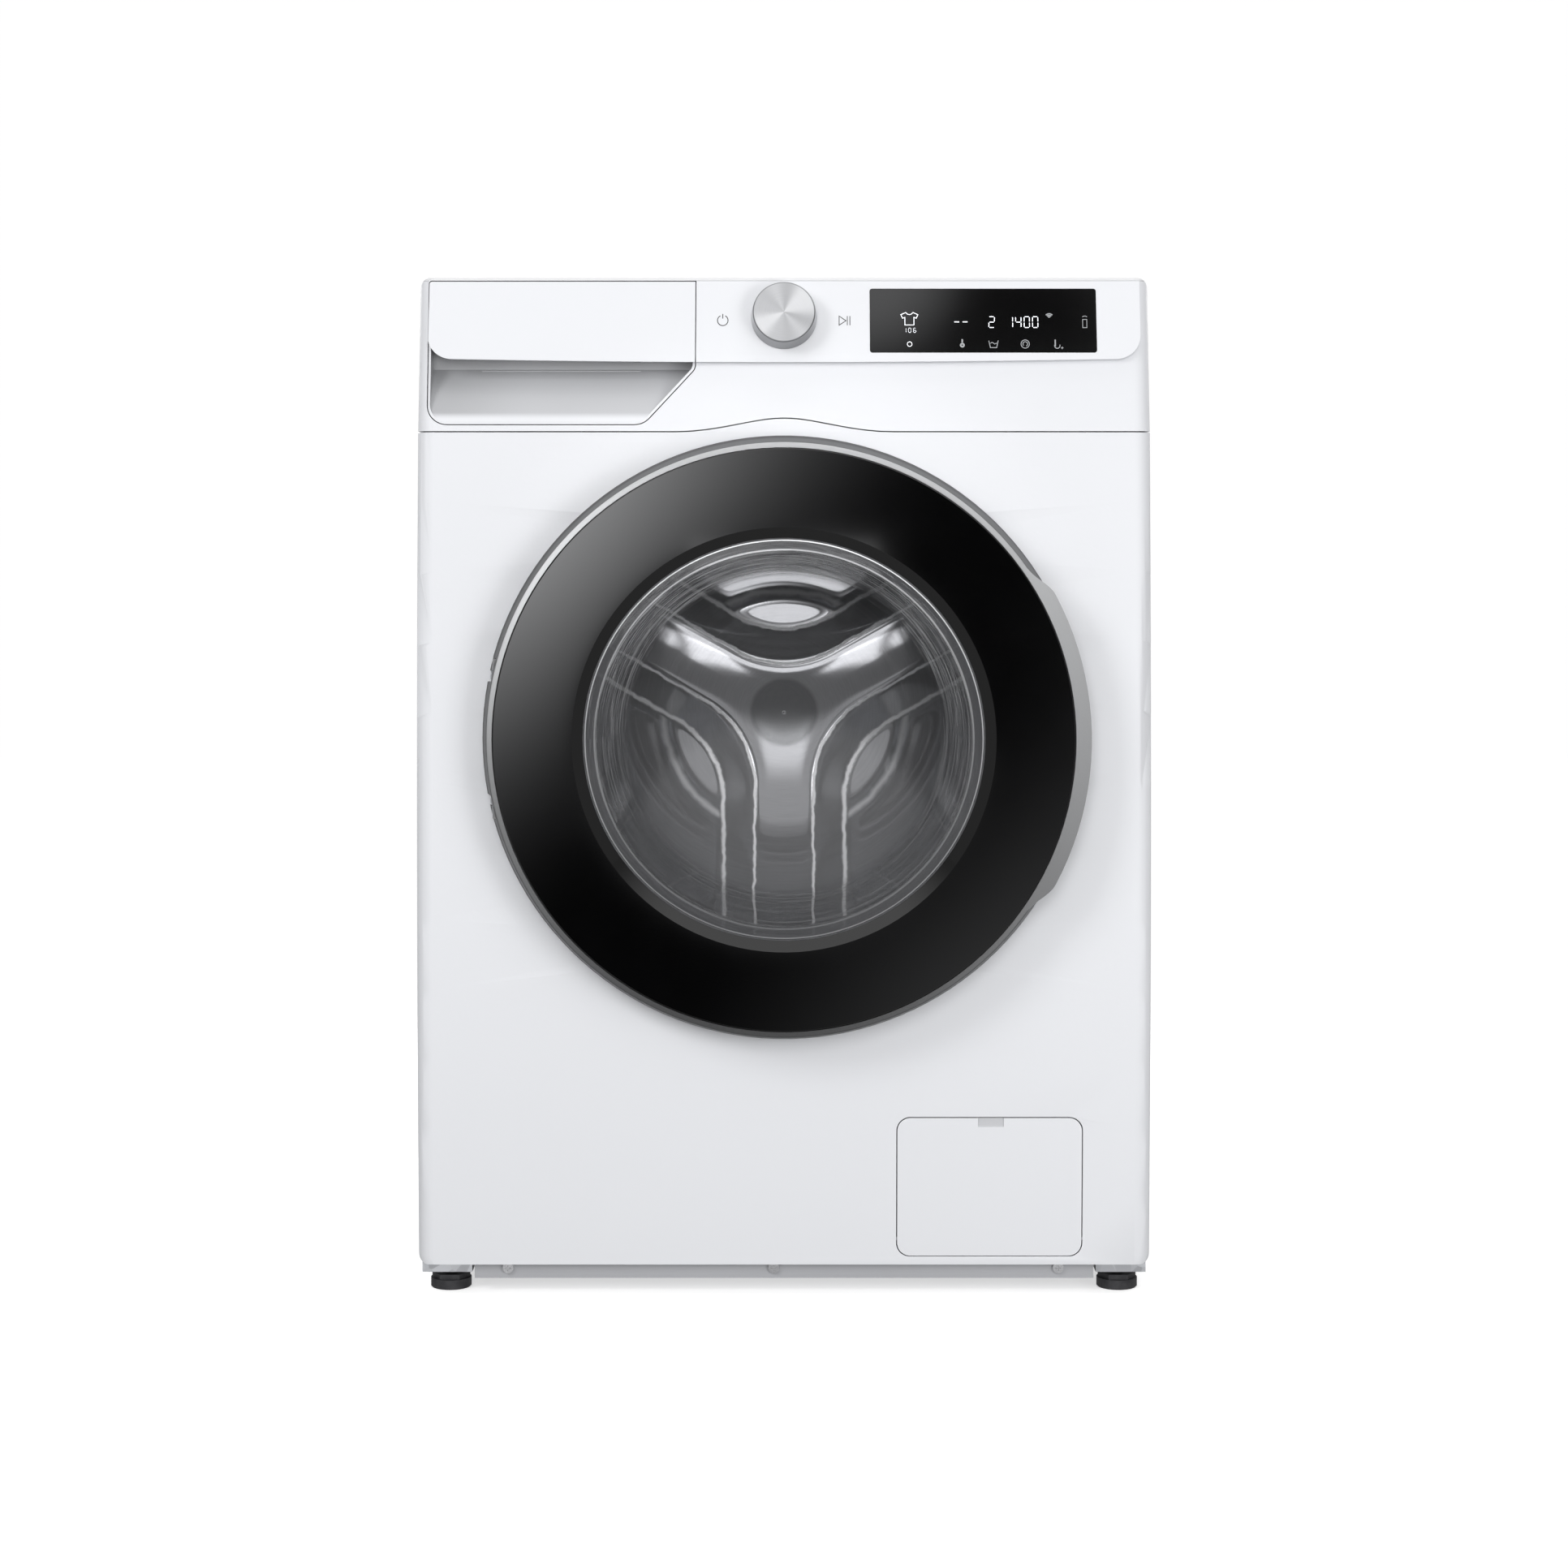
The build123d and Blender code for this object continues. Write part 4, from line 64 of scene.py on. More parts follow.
class Tone:
    """A shader value that takes part in Python arithmetic: each operation adds one Math node."""

    def __init__(self, finish, socket):
        self.finish = finish
        self.socket = socket

    def math(self, operation, first, second=0.0):
        return self.finish.node("ShaderNodeMath", {"operation": operation}, {0: first, 1: second})

    def __add__(self, other):
        return self.math("ADD", self, other)

    def __sub__(self, other):
        return self.math("SUBTRACT", self, other)

    def __rsub__(self, other):
        return self.math("SUBTRACT", other, self)

    def __mul__(self, other):
        return self.math("MULTIPLY", self, other)

    def __truediv__(self, other):
        return self.math("DIVIDE", self, other)

    def __pow__(self, other):
        return self.math("POWER", self, other)

    __radd__ = __add__
    __rmul__ = __mul__

    def take(self, operation):
        """One-value operation, such as SINE or FLOOR."""
        return self.math(operation, self)

    def largest(self, other):
        return self.math("MAXIMUM", self, other)

    def rise(self, low, high):
        """Smooth step from 0 at low to 1 at high."""
        settings = {"interpolation_type": "SMOOTHSTEP"}
        return self.finish.node("ShaderNodeMapRange", settings, {0: self, 1: low, 2: high, 3: 0.0, 4: 1.0})


class Finish:
    """One procedural material: a Principled shader with constants set on its sockets and maths on the rest."""

    def __init__(self, name, **fixed):
        self.material = bpy.data.materials.new(name)
        self.material.use_nodes = True
        self.tree = self.material.node_tree
        self.shader = self.tree.nodes["Principled BSDF"]
        for word, value in fixed.items():
            self.shader.inputs[word.replace("_", " ")].default_value = value

    def node(self, kind, settings, inputs, outlet=0):
        made = self.tree.nodes.new(kind)
        for word, value in settings.items():
            setattr(made, word, value)
        for place, value in inputs.items():
            if isinstance(value, Tone):
                self.tree.links.new(value.socket, made.inputs[place])
            else:
                made.inputs[place].default_value = value
        return Tone(self, made.outputs[outlet])

    def feed(self, socket, tone):
        self.tree.links.new(tone.socket, self.shader.inputs[socket])

    def place(self):
        return self.node("ShaderNodeTexCoord", {}, {}, "Object")

    def axes(self, place=None):
        """The three coordinates of the surface as separate values."""
        split = self.node("ShaderNodeSeparateXYZ", {}, {0: place or self.place()})
        outs = split.socket.node.outputs
        return [Tone(self, outs[k]) for k in range(3)]

    def stretched(self, scales):
        """Object coordinates with each axis multiplied, to draw a grain out along one of them."""
        return self.node("ShaderNodeVectorMath", {"operation": "MULTIPLY"}, {0: self.place(), 1: scales})

    def noise(self, scale, detail=2.0, rough=0.5, place=None):
        inputs = {"Vector": place or self.place(), "Scale": scale, "Detail": detail, "Roughness": rough}
        return self.node("ShaderNodeTexNoise", {}, inputs)

    def mix(self, share, first, second):
        inputs = {0: share, 6: first, 7: second}
        return self.node("ShaderNodeMix", {"data_type": "RGBA"}, inputs, 2)

    def turn(self, up, across):
        """Angle of a point in its plane, from -pi to pi."""
        return self.node("ShaderNodeMath", {"operation": "ARCTAN2"}, {0: up, 1: across})

    def patch(self, place, middle, half, soft):
        """1 inside a rectangle round its middle, falling to 0 over soft on both sides of its edges."""
        share = None
        for value, centre, reach in zip(place, middle, half):
            inside = 1 - (value - centre).take("ABSOLUTE").rise(reach - soft, reach + soft)
            share = inside if share is None else share * inside
        return share

    def lobe(self, turn, middle, power):
        """1 in one direction, falling to 0 a quarter turn to each side as a power of the cosine."""
        facing = (turn - radians(middle)).take("COSINE")
        return facing.largest(0.0) ** power

    def joined(self, first, second, third):
        """Three values as one place, for noise in coordinates of its own."""
        return self.node("ShaderNodeCombineXYZ", {}, {0: first, 1: second, 2: third})

    def bump(self, height, distance):
        inputs = {"Strength": 1.0, "Distance": distance, "Height": height}
        self.feed("Normal", self.node("ShaderNodeBump", {}, inputs))


def rgb(red, green=None, blue=None):
    return (red, red if green is None else green, red if blue is None else blue, 1.0)


WHITE = rgb(0.79, 0.80, 0.828)


def coated(name, light, shade, rough, peel, peel_depth, grain=0.0):
    """Paint or moulded plastic: a faint drift of tone, uneven gloss, and a skin of shallow waves."""
    finish = Finish(name)
    drift = finish.noise(3.0, 3.0).rise(0.3, 0.7)
    finish.feed("Base Color", finish.mix(drift, light, shade))
    finish.feed("Roughness", finish.noise(38.0, 4.0) * 0.07 + (rough - 0.035))
    skin = finish.noise(peel, 2.0)
    if grain:
        skin = skin + finish.noise(2600.0, 1.0) * grain
    finish.bump(skin, peel_depth)
    return finish.material


def plated(name, light, shade, rough, spangle):
    """Zinc-dipped sheet: flat crystals of slightly different tone and gloss, with a fine tooth."""
    finish = Finish(name, Metallic=1.0)
    cell = finish.node("ShaderNodeTexVoronoi", {}, {"Vector": finish.place(), "Scale": spangle}, "Color")
    shine = finish.axes(cell)[0]
    finish.feed("Base Color", finish.mix(shine, light, shade))
    finish.feed("Roughness", shine * 0.16 + (rough - 0.08))
    finish.bump(finish.noise(900.0, 3.0), 0.00004)
    return finish.material


def matt(name, light, shade, rough, grain, depth):
    """Dull plastic, rubber or cast stone: mottled tone and a pitted skin."""
    finish = Finish(name)
    finish.feed("Base Color", finish.mix(finish.noise(grain / 6, 4.0).rise(0.35, 0.65), light, shade))
    finish.feed("Roughness", finish.noise(grain / 2, 3.0) * 0.12 + (rough - 0.06))
    finish.bump(finish.noise(grain, 4.0, 0.6), depth)
    return finish.material


def steel(name, light, shade, rough, scales, depth):
    """Brushed or drawn metal: streaks drawn out along the axes with small scales."""
    finish = Finish(name, Metallic=1.0)
    streak = finish.noise(1.0, 5.0, 0.65, finish.stretched(scales))
    finish.feed("Base Color", finish.mix(streak.rise(0.3, 0.7), light, shade))
    finish.feed("Roughness", streak * 0.2 + (rough - 0.1))
    finish.bump(streak, depth)
    return finish.material


def round_axis(finish):
    """Distance from the drum's axis, turn about it from -pi to pi, and depth, for what is turned or rolled."""
    x, y, z = finish.axes()
    z = z - AXIS_Z
    return (x * x + z * z) ** 0.5, finish.turn(z, x), y


def drum_plate():
    """Rolled drum steel: rows of dark punched holes, staggered, in a fine rolled grain."""
    finish = Finish("drum_shell_steel", Metallic=1.0)
    radius, turn, y = round_axis(finish)
    across, along = turn * (150 / (2 * pi)), y / 0.0102
    row = along.take("FLOOR")
    shifted = across + (row * 0.5)
    dx = shifted - shifted.take("FLOOR") - 0.5
    dy = along - row - 0.5
    wall = radius.rise(0.232, 0.234)
    # The holes are not cut: each is painted almost black, a painted shade for the dark seen through a hole.
    hole = (1 - (dx * dx + dy * dy).rise(0.020, 0.036)) * wall
    streak = finish.noise(1.0, 4.0, 0.6, finish.stretched((60.0, 900.0, 60.0)))
    metal = finish.mix(streak.rise(0.3, 0.7), rgb(0.56, 0.565, 0.575), rgb(0.47, 0.475, 0.485))
    finish.feed("Base Color", finish.mix(hole, metal, rgb(0.01)))
    finish.feed("Roughness", streak * 0.12 + 0.16 + hole * 0.5)
    finish.bump(streak * 0.25 - hole, 0.0004)
    return finish.material


def pocket_edge(finish, radius, turn, arm_half, round_off):
    """How far a point lies inside the outline of a pocket, as pocket() has it, with the three folded into one."""
    third = (turn - pi / 2) / (2 * pi / 3)
    fold = (third - (third + 0.5).take("FLOOR")).take("ABSOLUTE") * (2 * pi / 3)
    along, across = radius * fold.take("COSINE"), radius * fold.take("SINE")
    past = along * sin(pi / 3) - across * cos(pi / 3) - arm_half
    from_centre = along - (arm_half + round_off) / sin(pi / 3)
    corner = round_off - (from_centre * from_centre + across * across) ** 0.5
    in_corner = across.math("LESS_THAN", across, from_centre * -np.tan(pi / 6))
    return past + (corner - past) * in_corner


def drum_dish_steel():
    """Pressed drum back: bright steel with a faint turned grain, and painted highlights where it is bent sharply.
    """
    finish = Finish("drum_back_steel")
    radius, turn = round_axis(finish)[:2]
    grain = finish.noise(1.0, 3.0, 0.6, finish.joined(radius * 700.0, turn * 3.0, 0.0))
    edge = pocket_edge(finish, radius, turn, *STAR_EDGE)
    foot = pocket_edge(finish, radius, turn, *STAR_FOOT)
    waver = finish.noise(1.0, 3.0, 0.6, finish.stretched((55.0, 55.0, 55.0))) * 0.006 - 0.003
    # Painted highlights: pale, less metallic lines along the pocket edges, their feet and the step, for the light
    # the sharp bends reflect.
    painted_highlight_lines = finish.patch([edge + waver], [0.0009], [0.0013], 0.0009)
    painted_highlight_lines = painted_highlight_lines + finish.patch([foot + waver], [0.0], [0.0019], 0.0013)
    painted_highlight_lines = painted_highlight_lines + finish.patch([radius + waver], [0.112], [0.0026], 0.0026) * foot.rise(0.002, 0.005) * 0.6
    metal = finish.mix(grain.rise(0.3, 0.7), rgb(0.64, 0.645, 0.665), rgb(0.58, 0.585, 0.605))
    # Painted reflection: the boss in the middle is coloured darker, for the dark it mirrors.
    boss = 1 - radius.rise(0.0285, 0.0335)
    metal = finish.mix(boss * 0.45, metal, rgb(0.08, 0.081, 0.084))
    finish.feed("Base Color", finish.mix(painted_highlight_lines, metal, rgb(0.97, 0.975, 1.0)))
    finish.feed("Metallic", 0.66 - painted_highlight_lines * 0.6)
    finish.feed("Roughness", grain * 0.03 + 0.02 + painted_highlight_lines * 0.3)
    finish.bump(grain, 0.0000015)
    return finish.material


def silver_ring():
    """Silver lacquer on the door's ring: a painted sheen that runs round the front, brightest to the upper left, a
    darker side, and painted shadow as dark edges outside and behind, where the ring meets the panel."""
    finish = Finish("silver_lacquer", Specular_IOR_Level=0.12)
    radius, turn, y = round_axis(finish)
    # Painted highlight: the front's tone follows the turn round the axis, lightest to the upper left and darkest
    # below.
    sheen = (turn - radians(80)).take("COSINE") * 0.20 + finish.lobe(turn, 148, 8.0) * 0.34 + 0.26
    grain = finish.noise(700.0, 2.0) * 0.02 - 0.01
    front = finish.mix(sheen + grain, rgb(0.0), rgb(0.97, 0.98, 1.0))
    side = finish.mix(grain + 0.085, rgb(0.0), rgb(0.97, 0.98, 1.0))
    body = finish.mix(y.rise(-0.2966, -0.2956), front, side)
    # Painted shadow: the outer edge, except on the right, and the back edge are coloured nearly black, for the gap
    # between ring and panel.
    outline = radius.rise(0.2422, 0.2432) * (1 - turn.take("COSINE").rise(0.6, 0.7))
    dark = outline.largest(y.rise(-0.2735, -0.2715))
    finish.feed("Base Color", finish.mix(dark, body, rgb(0.02)))
    finish.feed("Roughness", grain * 2.0 + 0.38)
    finish.bump(grain, 0.00002)
    return finish.material


def moulded(finish, shade):
    """White moulding with a fine skin, made darker by painted shade where shade is more than 0."""
    finish.feed("Base Color", finish.mix(finish.noise(3.0, 3.0) * 0.012 + shade, WHITE, rgb(0.0)))
    finish.feed("Roughness", finish.noise(38.0, 4.0) * 0.07 + 0.295)
    finish.bump(finish.noise(420.0, 2.0) + finish.noise(2600.0, 1.0) * 0.3, 0.00003)
    return finish.material


def flap_white():
    """White moulding with painted shade: the floor of the finger recess is coloured a light grey."""
    finish = Finish("white_flap_moulding")
    y, z = finish.axes()[1:]
    rise = z - 0.41
    behind = y - (rise * rise / 10 - 0.262)
    # Painted shade: points more than about a millimetre behind the bowed face, above a set height, are coloured
    # darker.
    notch_painted_shade = behind.rise(0.0008, 0.0012) * z.rise(0.1370, 0.1374)
    return moulded(finish, notch_painted_shade * 0.3)


def scooped_white():
    """White moulding with painted shade inside the scoop, darker the further it lies behind the front and towards
    its left end.
    """
    finish = Finish("white_drawer_moulding")
    x, y, z = finish.axes()
    behind = y - ((z - 0.7045) * 0.16 - 0.253)
    # Painted shade: the scoop is coloured darker with its depth behind the front, and more so at the left end,
    # where the overhang and left wall shade it.
    shade = behind.rise(0.0002, 0.0016) * 0.34 + behind.rise(0.001, 0.022) * 0.08
    left = 1 - x.rise(-0.29, -0.20)
    return moulded(finish, shade + left * shade * 0.35)


def spun_knob():
    """Spun aluminium: a painted fan-shaped sheen round the turning axis, fine turned rings, and a drawn side,
    painted darker towards the bottom.
    """
    finish = Finish("spun_aluminium", Metallic=1.0)
    x, y, z = finish.axes()
    up = (y - KNOB_Y) * sin(LEAN) + (z - KNOB_Z) * cos(LEAN)
    out = (z - KNOB_Z) * sin(LEAN) - (y - KNOB_Y) * cos(LEAN)
    radius = (x * x + up * up) ** 0.5
    turn = finish.turn(up, x)
    # Painted sheen: bright and dark sectors round the axis in the base colour stand in for the spun finish's
    # highlights.
    fan = (turn * 2.0 + 0.5).take("SINE") * 0.30 + (turn * 4.0 - 0.6).take("SINE") * 0.22
    fan = fan + (turn * 7.0 + 1.1).take("SINE") * 0.10
    rings = finish.noise(1.0, 2.0, 0.5, finish.joined(radius * 5200.0, turn * 0.8, 0.0))
    face = out.rise(0.0145, 0.0158)
    sheen = (fan + 0.5) * face + (rings - 0.5) * 0.35 + (1 - face) * 0.42
    edge = radius.rise(0.0242, 0.0250) * face
    bright = finish.mix(sheen.rise(-0.1, 1.1), rgb(0.56, 0.565, 0.58), rgb(0.95, 0.955, 0.97))
    # Painted shade: the side below the face is coloured darker towards the bottom.
    skirt_painted_shade = (1 - face) * (1 - up.rise(-0.024, 0.012)) * 0.75
    bright = finish.mix(skirt_painted_shade, bright, rgb(0.16, 0.162, 0.168))
    finish.feed("Base Color", finish.mix(edge, bright, rgb(0.30, 0.305, 0.315)))
    finish.feed("Roughness", rings * 0.12 + 0.26)
    finish.bump(rings, 0.00003)
    return finish.material


def glossy_black(name, rough):
    """Back-painted glass: black with a faint haze of wiping marks in its gloss."""
    finish = Finish(name, IOR=1.5, Coat_Weight=0.25, Coat_Roughness=0.02)
    haze = finish.noise(9.0, 5.0, 0.6)
    black, hazed = rgb(0.0006, 0.0006, 0.0007), rgb(0.0012, 0.0012, 0.0014)
    finish.feed("Base Color", finish.mix(haze.rise(0.3, 0.8), black, hazed))
    finish.feed("Roughness", haze * 0.05 + rough)
    return finish.material


def clear_bowl():
    """Clear pressed glass: see-through in the middle, a grey flange whose two edges carry painted highlights, and
    a wall with painted highlights as fine bright draws round the axis, painted strongest above."""
    finish = Finish("clear_bowl_glass", IOR=1.5, Coat_Weight=0.6, Coat_Roughness=0.01)
    slant = finish.node("ShaderNodeLayerWeight", {}, {"Blend": 0.35}, "Facing")
    radius, turn, y = round_axis(finish)
    draw = finish.noise(1.0, 3.0, 0.6, finish.joined(radius * 90.0, turn * 1.6, y * 420.0))
    wall = radius.rise(0.128, 0.136) * (1 - radius.rise(0.1515, 0.1525))
    flange = radius.rise(0.1515, 0.1525)
    # Painted highlights: bright rings at the rim and at the flange's inner edge.
    edges = radius.rise(0.1594, 0.1599) + finish.patch([radius], [0.1523], [0.0009], 0.0004) * 0.5
    # Painted highlight: the draws and edges are made brighter towards the top.
    above = (turn.take("SINE") * 0.5 + 0.5) ** 2.0 * 0.8 + 0.2
    painted_highlight_lines = draw.rise(0.53, 0.60) * wall * above
    bright = finish.mix(painted_highlight_lines + edges * above, rgb(0.07, 0.071, 0.075), rgb(0.85, 0.86, 0.88))
    finish.feed("Base Color", bright)
    finish.feed("Roughness", draw * 0.05 + 0.01)
    covered = flange * 0.75 + wall * 0.16 + painted_highlight_lines * 0.6 + edges * 0.2
    finish.feed("Alpha", (slant ** 2.2) * 0.5 + covered + 0.04)
    finish.bump(draw, 0.0003)
    return finish.material


def lit(name, colour, power):
    """Backlit print: a glow with a soft unevenness from the lamp behind it."""
    finish = Finish(name, Roughness=0.4, Emission_Strength=power)
    glow = finish.noise(90.0, 2.0) * 0.3 + 0.85
    finish.feed("Base Color", finish.mix(glow, rgb(0.05), colour))
    finish.feed("Emission Color", finish.mix(glow - 0.2, rgb(0.0), colour))
    return finish.material


finishes = {
    coated("white_enamel", WHITE, rgb(0.78, 0.79, 0.818), 0.44, 240.0, 0.00006): [
        "front_panel", "left_side_panel", "right_side_panel"],
    coated("white_moulding", WHITE, rgb(0.782, 0.792, 0.82), 0.33, 420.0, 0.00003, 0.3): [
        "control_panel", "flap_frame"],
    flap_white(): ["filter_flap"],
    scooped_white(): ["drawer_front"],
    coated("white_lid", rgb(0.78, 0.785, 0.8), rgb(0.76, 0.765, 0.78), 0.38, 900.0, 0.00006, 0.5): ["top_cover"],
    plated("zinc_sheet", rgb(0.60, 0.61, 0.63), rgb(0.47, 0.48, 0.50), 0.42, 85.0): [
        "base_frame", "crossbars", "rear_panel", "rear_cover", "hinge_bracket", "motor"],
    coated("rail_paint", rgb(0.42, 0.425, 0.445), rgb(0.39, 0.395, 0.415), 0.42, 600.0, 0.00004): ["front_rail"],
    steel("drawn_screws", rgb(0.55, 0.55, 0.56), rgb(0.42, 0.42, 0.43), 0.32, (900.0, 120.0, 900.0), 0.00002): [
        "case_screws", "tub_bolts", "hinge_pin", "drum_bearings", "heater", "motor_pulley", "suspension_springs"],
    steel("cast_aluminium", rgb(0.66, 0.665, 0.67), rgb(0.5, 0.505, 0.51), 0.5, (260.0, 260.0, 260.0), 0.0002): [
        "drum_spider", "drum_pulley"],
    silver_ring(): ["door_frame"],
    glossy_black("black_door_glass", 0.035): ["door_glass"],
    glossy_black("black_display_glass", 0.06): ["display_window"],
    clear_bowl(): ["door_bowl"],
    drum_plate(): ["drum_shell"],
    spun_knob(): ["program_knob"],
    matt("grey_moulding", rgb(0.50, 0.51, 0.52), rgb(0.46, 0.47, 0.48), 0.45, 700.0, 0.00005): [
        "transit_caps", "drain_pump", "inlet_valve", "drain_spigot", "siphon_cap", "pump_impeller",
        "drawer_housing", "drawer_tray", "drum_lifters", "door_hook"],
    matt("dark_moulding", rgb(0.045, 0.046, 0.05), rgb(0.06, 0.061, 0.065), 0.42, 700.0, 0.00005): [
        "cable_gland", "control_board", "door_lock", "drain_filter"],
    matt("charcoal_moulding", rgb(0.055, 0.056, 0.06), rgb(0.07, 0.071, 0.075), 0.35, 700.0, 0.00004): [
        "door_inner_frame"],
    matt("tub_plastic", rgb(0.62, 0.63, 0.62), rgb(0.56, 0.57, 0.56), 0.5, 500.0, 0.00008): [
        "tub_front", "tub_rear", "dampers"],
    matt("cast_weight", rgb(0.32, 0.32, 0.31), rgb(0.24, 0.24, 0.235), 0.85, 260.0, 0.0004): ["counterweights"],
    matt("gasket_rubber", rgb(0.44, 0.445, 0.46), rgb(0.39, 0.395, 0.41), 0.55, 500.0, 0.00008): ["door_gasket"],
    matt("dark_rubber", rgb(0.12, 0.122, 0.126), rgb(0.09, 0.092, 0.095), 0.6, 500.0, 0.00008): [
        "inlet_hose", "drain_hose", "dispenser_hose", "sump_hose", "drive_belt"],
    matt("foot_rubber", rgb(0.022, 0.022, 0.025), rgb(0.035, 0.035, 0.038), 0.55, 600.0, 0.0001): [
        "foot_front_left", "foot_rear_left", "foot_front_right", "foot_rear_right"],
}
for material, names in finishes.items():
    for name in names:
        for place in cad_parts[name].material_slots:
            place.material = material


# The bowed front is shaded as one smooth sheet: its corners are joined and large faces lead the shading
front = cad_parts["front_panel"]
front.modifiers.new("join", "WELD").merge_threshold = 0.00001
lead = front.modifiers.new("lead", "WEIGHTED_NORMAL")
lead.weight, lead.keep_sharp = 90, False


def piece(name, points, faces, material, body, smooth=True):
    """A finished mesh at the origin that rides on a body."""
    mesh = bpy.data.meshes.new(name)
    mesh.from_pydata(points.tolist(), [], [face.tolist() for face in faces])
    mesh.materials.append(material)
    mesh.polygons.foreach_set("use_smooth", np.full(len(mesh.polygons), smooth))
    mesh.update()
    made = bpy.data.objects.new(name, mesh)
    bpy.context.scene.collection.objects.link(made)
    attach(made, body)
    return made


def ramp(distance, width, soft):
    """Straight slope from 0 to 1 over width whose two ends are rounded off over about soft."""
    bend = lambda d: 0.5 * (d + np.sqrt(d * d + soft * soft))
    return (bend(distance) - bend(distance - width)) / width


def pocket(x, z, arm_half, round_off):
    """How far a point lies inside the outline of a pocket between two arms of the star, over all three pockets:
    the smaller distance past the two arms' sides, or in the round corner, round_off minus the distance from the
    corner's middle."""
    deepest = np.full(x.shape, -1.0)
    for middle in (90, 210, 330):
        way = radians(middle)
        along, across = x * cos(way) + z * sin(way), z * cos(way) - x * sin(way)
        past = along * sin(pi / 3) - np.abs(across) * cos(pi / 3) - arm_half
        from_centre = along - (arm_half + round_off) / sin(pi / 3)
        in_corner = -from_centre * np.tan(pi / 6) > np.abs(across)
        corner = round_off - np.hypot(from_centre, across)
        deepest = np.maximum(deepest, np.where(in_corner, corner, past))
    return deepest


def drum_dish():
    """Drum back on a polar grid: a flat star of three arms, flanks down into three round-cornered pockets, a round
    step across the pockets, and a shallow boss in the middle. The depth is a function of radius and turn."""
    rings, sectors = 236, 420
    radius = DISH_REACH * np.linspace(0, 1, rings + 1)[1:, None]
    turn = np.linspace(0, 2 * pi, sectors, endpoint=False)[None, :]
    x, z = radius * np.cos(turn), radius * np.sin(turn)
    inside, foot = pocket(x, z, *STAR_EDGE), pocket(x, z, *STAR_FOOT)
    down = inside / np.maximum(inside - foot, 0.004)
    y = DISH_Y + POCKET_DEPTH * ramp(down, 1.0, 0.13)
    y += STEP_DEPTH * ramp(radius - STEP_RADIUS, STEP_WIDTH, 0.0034) * ramp(foot, 0.006, 0.003)
    y -= 0.00004 * ramp(BOSS_RADIUS - radius, 0.008, 0.005)
    rim = np.stack([x, y, z + AXIS_Z], axis=-1).reshape(-1, 3)
    points = np.vstack([rim, [[0, y[0].mean(), AXIS_Z]]])
    ring, sector = np.meshgrid(np.arange(rings - 1), np.arange(sectors), indexing="ij")
    beside = (sector + 1) % sectors
    quads = np.stack([ring * sectors + sector, ring * sectors + beside,
                      (ring + 1) * sectors + beside, (ring + 1) * sectors + sector], axis=-1).reshape(-1, 4)
    middle = np.arange(sectors)
    fan = np.stack([np.full(sectors, rings * sectors), (middle + 1) % sectors, middle], axis=-1)
    made = piece("drum_back_pressing", points, [*fan, *quads[:, ::-1]], drum_dish_steel(), "drum")
    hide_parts("drum_back")


def stroke(path, width, height, closed=False):
    """A flat rib along a path in the panel's own plane: a box profile of that width and height, carried along the
    path with mitred corners. Returns points as (across, up, out) and faces."""
    path = np.asarray(path, float)
    step = np.roll(path, -1, axis=0) - path
    step /= np.linalg.norm(step, axis=1, keepdims=True)
    before = np.roll(step, 1, axis=0)
    if not closed:
        step[-1] = step[-2]
        before[0] = step[0]
    side = np.stack([-(step + before)[:, 1], (step + before)[:, 0]], axis=1)
    side /= np.linalg.norm(side, axis=1, keepdims=True)
    reach = np.clip((side * np.stack([-step[:, 1], step[:, 0]], axis=1)).sum(1, keepdims=True), 0.4, 1)
    half = side * width / 2 / reach
    count = len(path)
    low, high = np.zeros((count, 1)), np.full((count, 1), height)
    rows = [np.hstack([path + half, low]), np.hstack([path + half, high]),
            np.hstack([path - half, high]), np.hstack([path - half, low])]
    points = np.stack(rows, axis=1).reshape(-1, 3)
    at = np.arange(count if closed else count - 1)[:, None]
    corner = np.arange(4)[None, :]
    after = (at + 1) % count
    faces = list(np.stack([at * 4 + corner, at * 4 + (corner + 1) % 4,
                           after * 4 + (corner + 1) % 4, after * 4 + corner], axis=-1).reshape(-1, 4))
    if not closed:
        faces += [np.array([3, 2, 1, 0]), np.arange(4) + (count - 1) * 4]
    return points, faces


def arc(middle, radius, start, end, count=24):
    """Points on a circle from one angle to another, in degrees."""
    turn = np.radians(np.linspace(start, end, count))
    return np.stack([middle[0] + radius * np.cos(turn), middle[1] + radius * np.sin(turn)], axis=1)


def ring(middle, radius, count=32):
    return arc(middle, radius, 0, 360 * (count - 1) / count, count)


SEGMENTS = {"0": "abcdef", "1": "bc", "2": "abged", "4": "fgbc", "6": "afedcg"}


def digit(sign, middle, width, height):
    """Strokes of a seven-segment digit."""
    a, b, gap = width / 2, height / 2, width * 0.12
    ends = {"a": ((-a + gap, b), (a - gap, b)), "g": ((-a + gap, 0), (a - gap, 0)),
            "d": ((-a + gap, -b), (a - gap, -b)), "f": ((-a, gap), (-a, b - gap)),
            "b": ((a, gap), (a, b - gap)), "e": ((-a, -b + gap), (-a, -gap)), "c": ((a, -b + gap), (a, -gap))}
    return [np.array(ends[name]) + np.array(middle) for name in SEGMENTS[sign]]


def on_band(name, strokes, material):
    """Puts strokes, each (path, width, closed) in millimetres across and up, on the face of the leaning band."""
    points, faces, total = [], [], 0
    for path, width, closed in strokes:
        p, f = stroke(np.asarray(path) / 1000, width / 1000, 0.00012, closed)
        points.append(p)
        faces += [face + total for face in f]
        total += len(p)
    p = np.vstack(points)
    up = (p[:, 1] - BAND_Z) / cos(LEAN)
    y = BAND_Y + up * sin(LEAN) - p[:, 2] * cos(LEAN)
    z = p[:, 1] + p[:, 2] * sin(LEAN)
    piece(name, np.stack([p[:, 0], y, z], axis=1), faces, material, "cabinet", False)


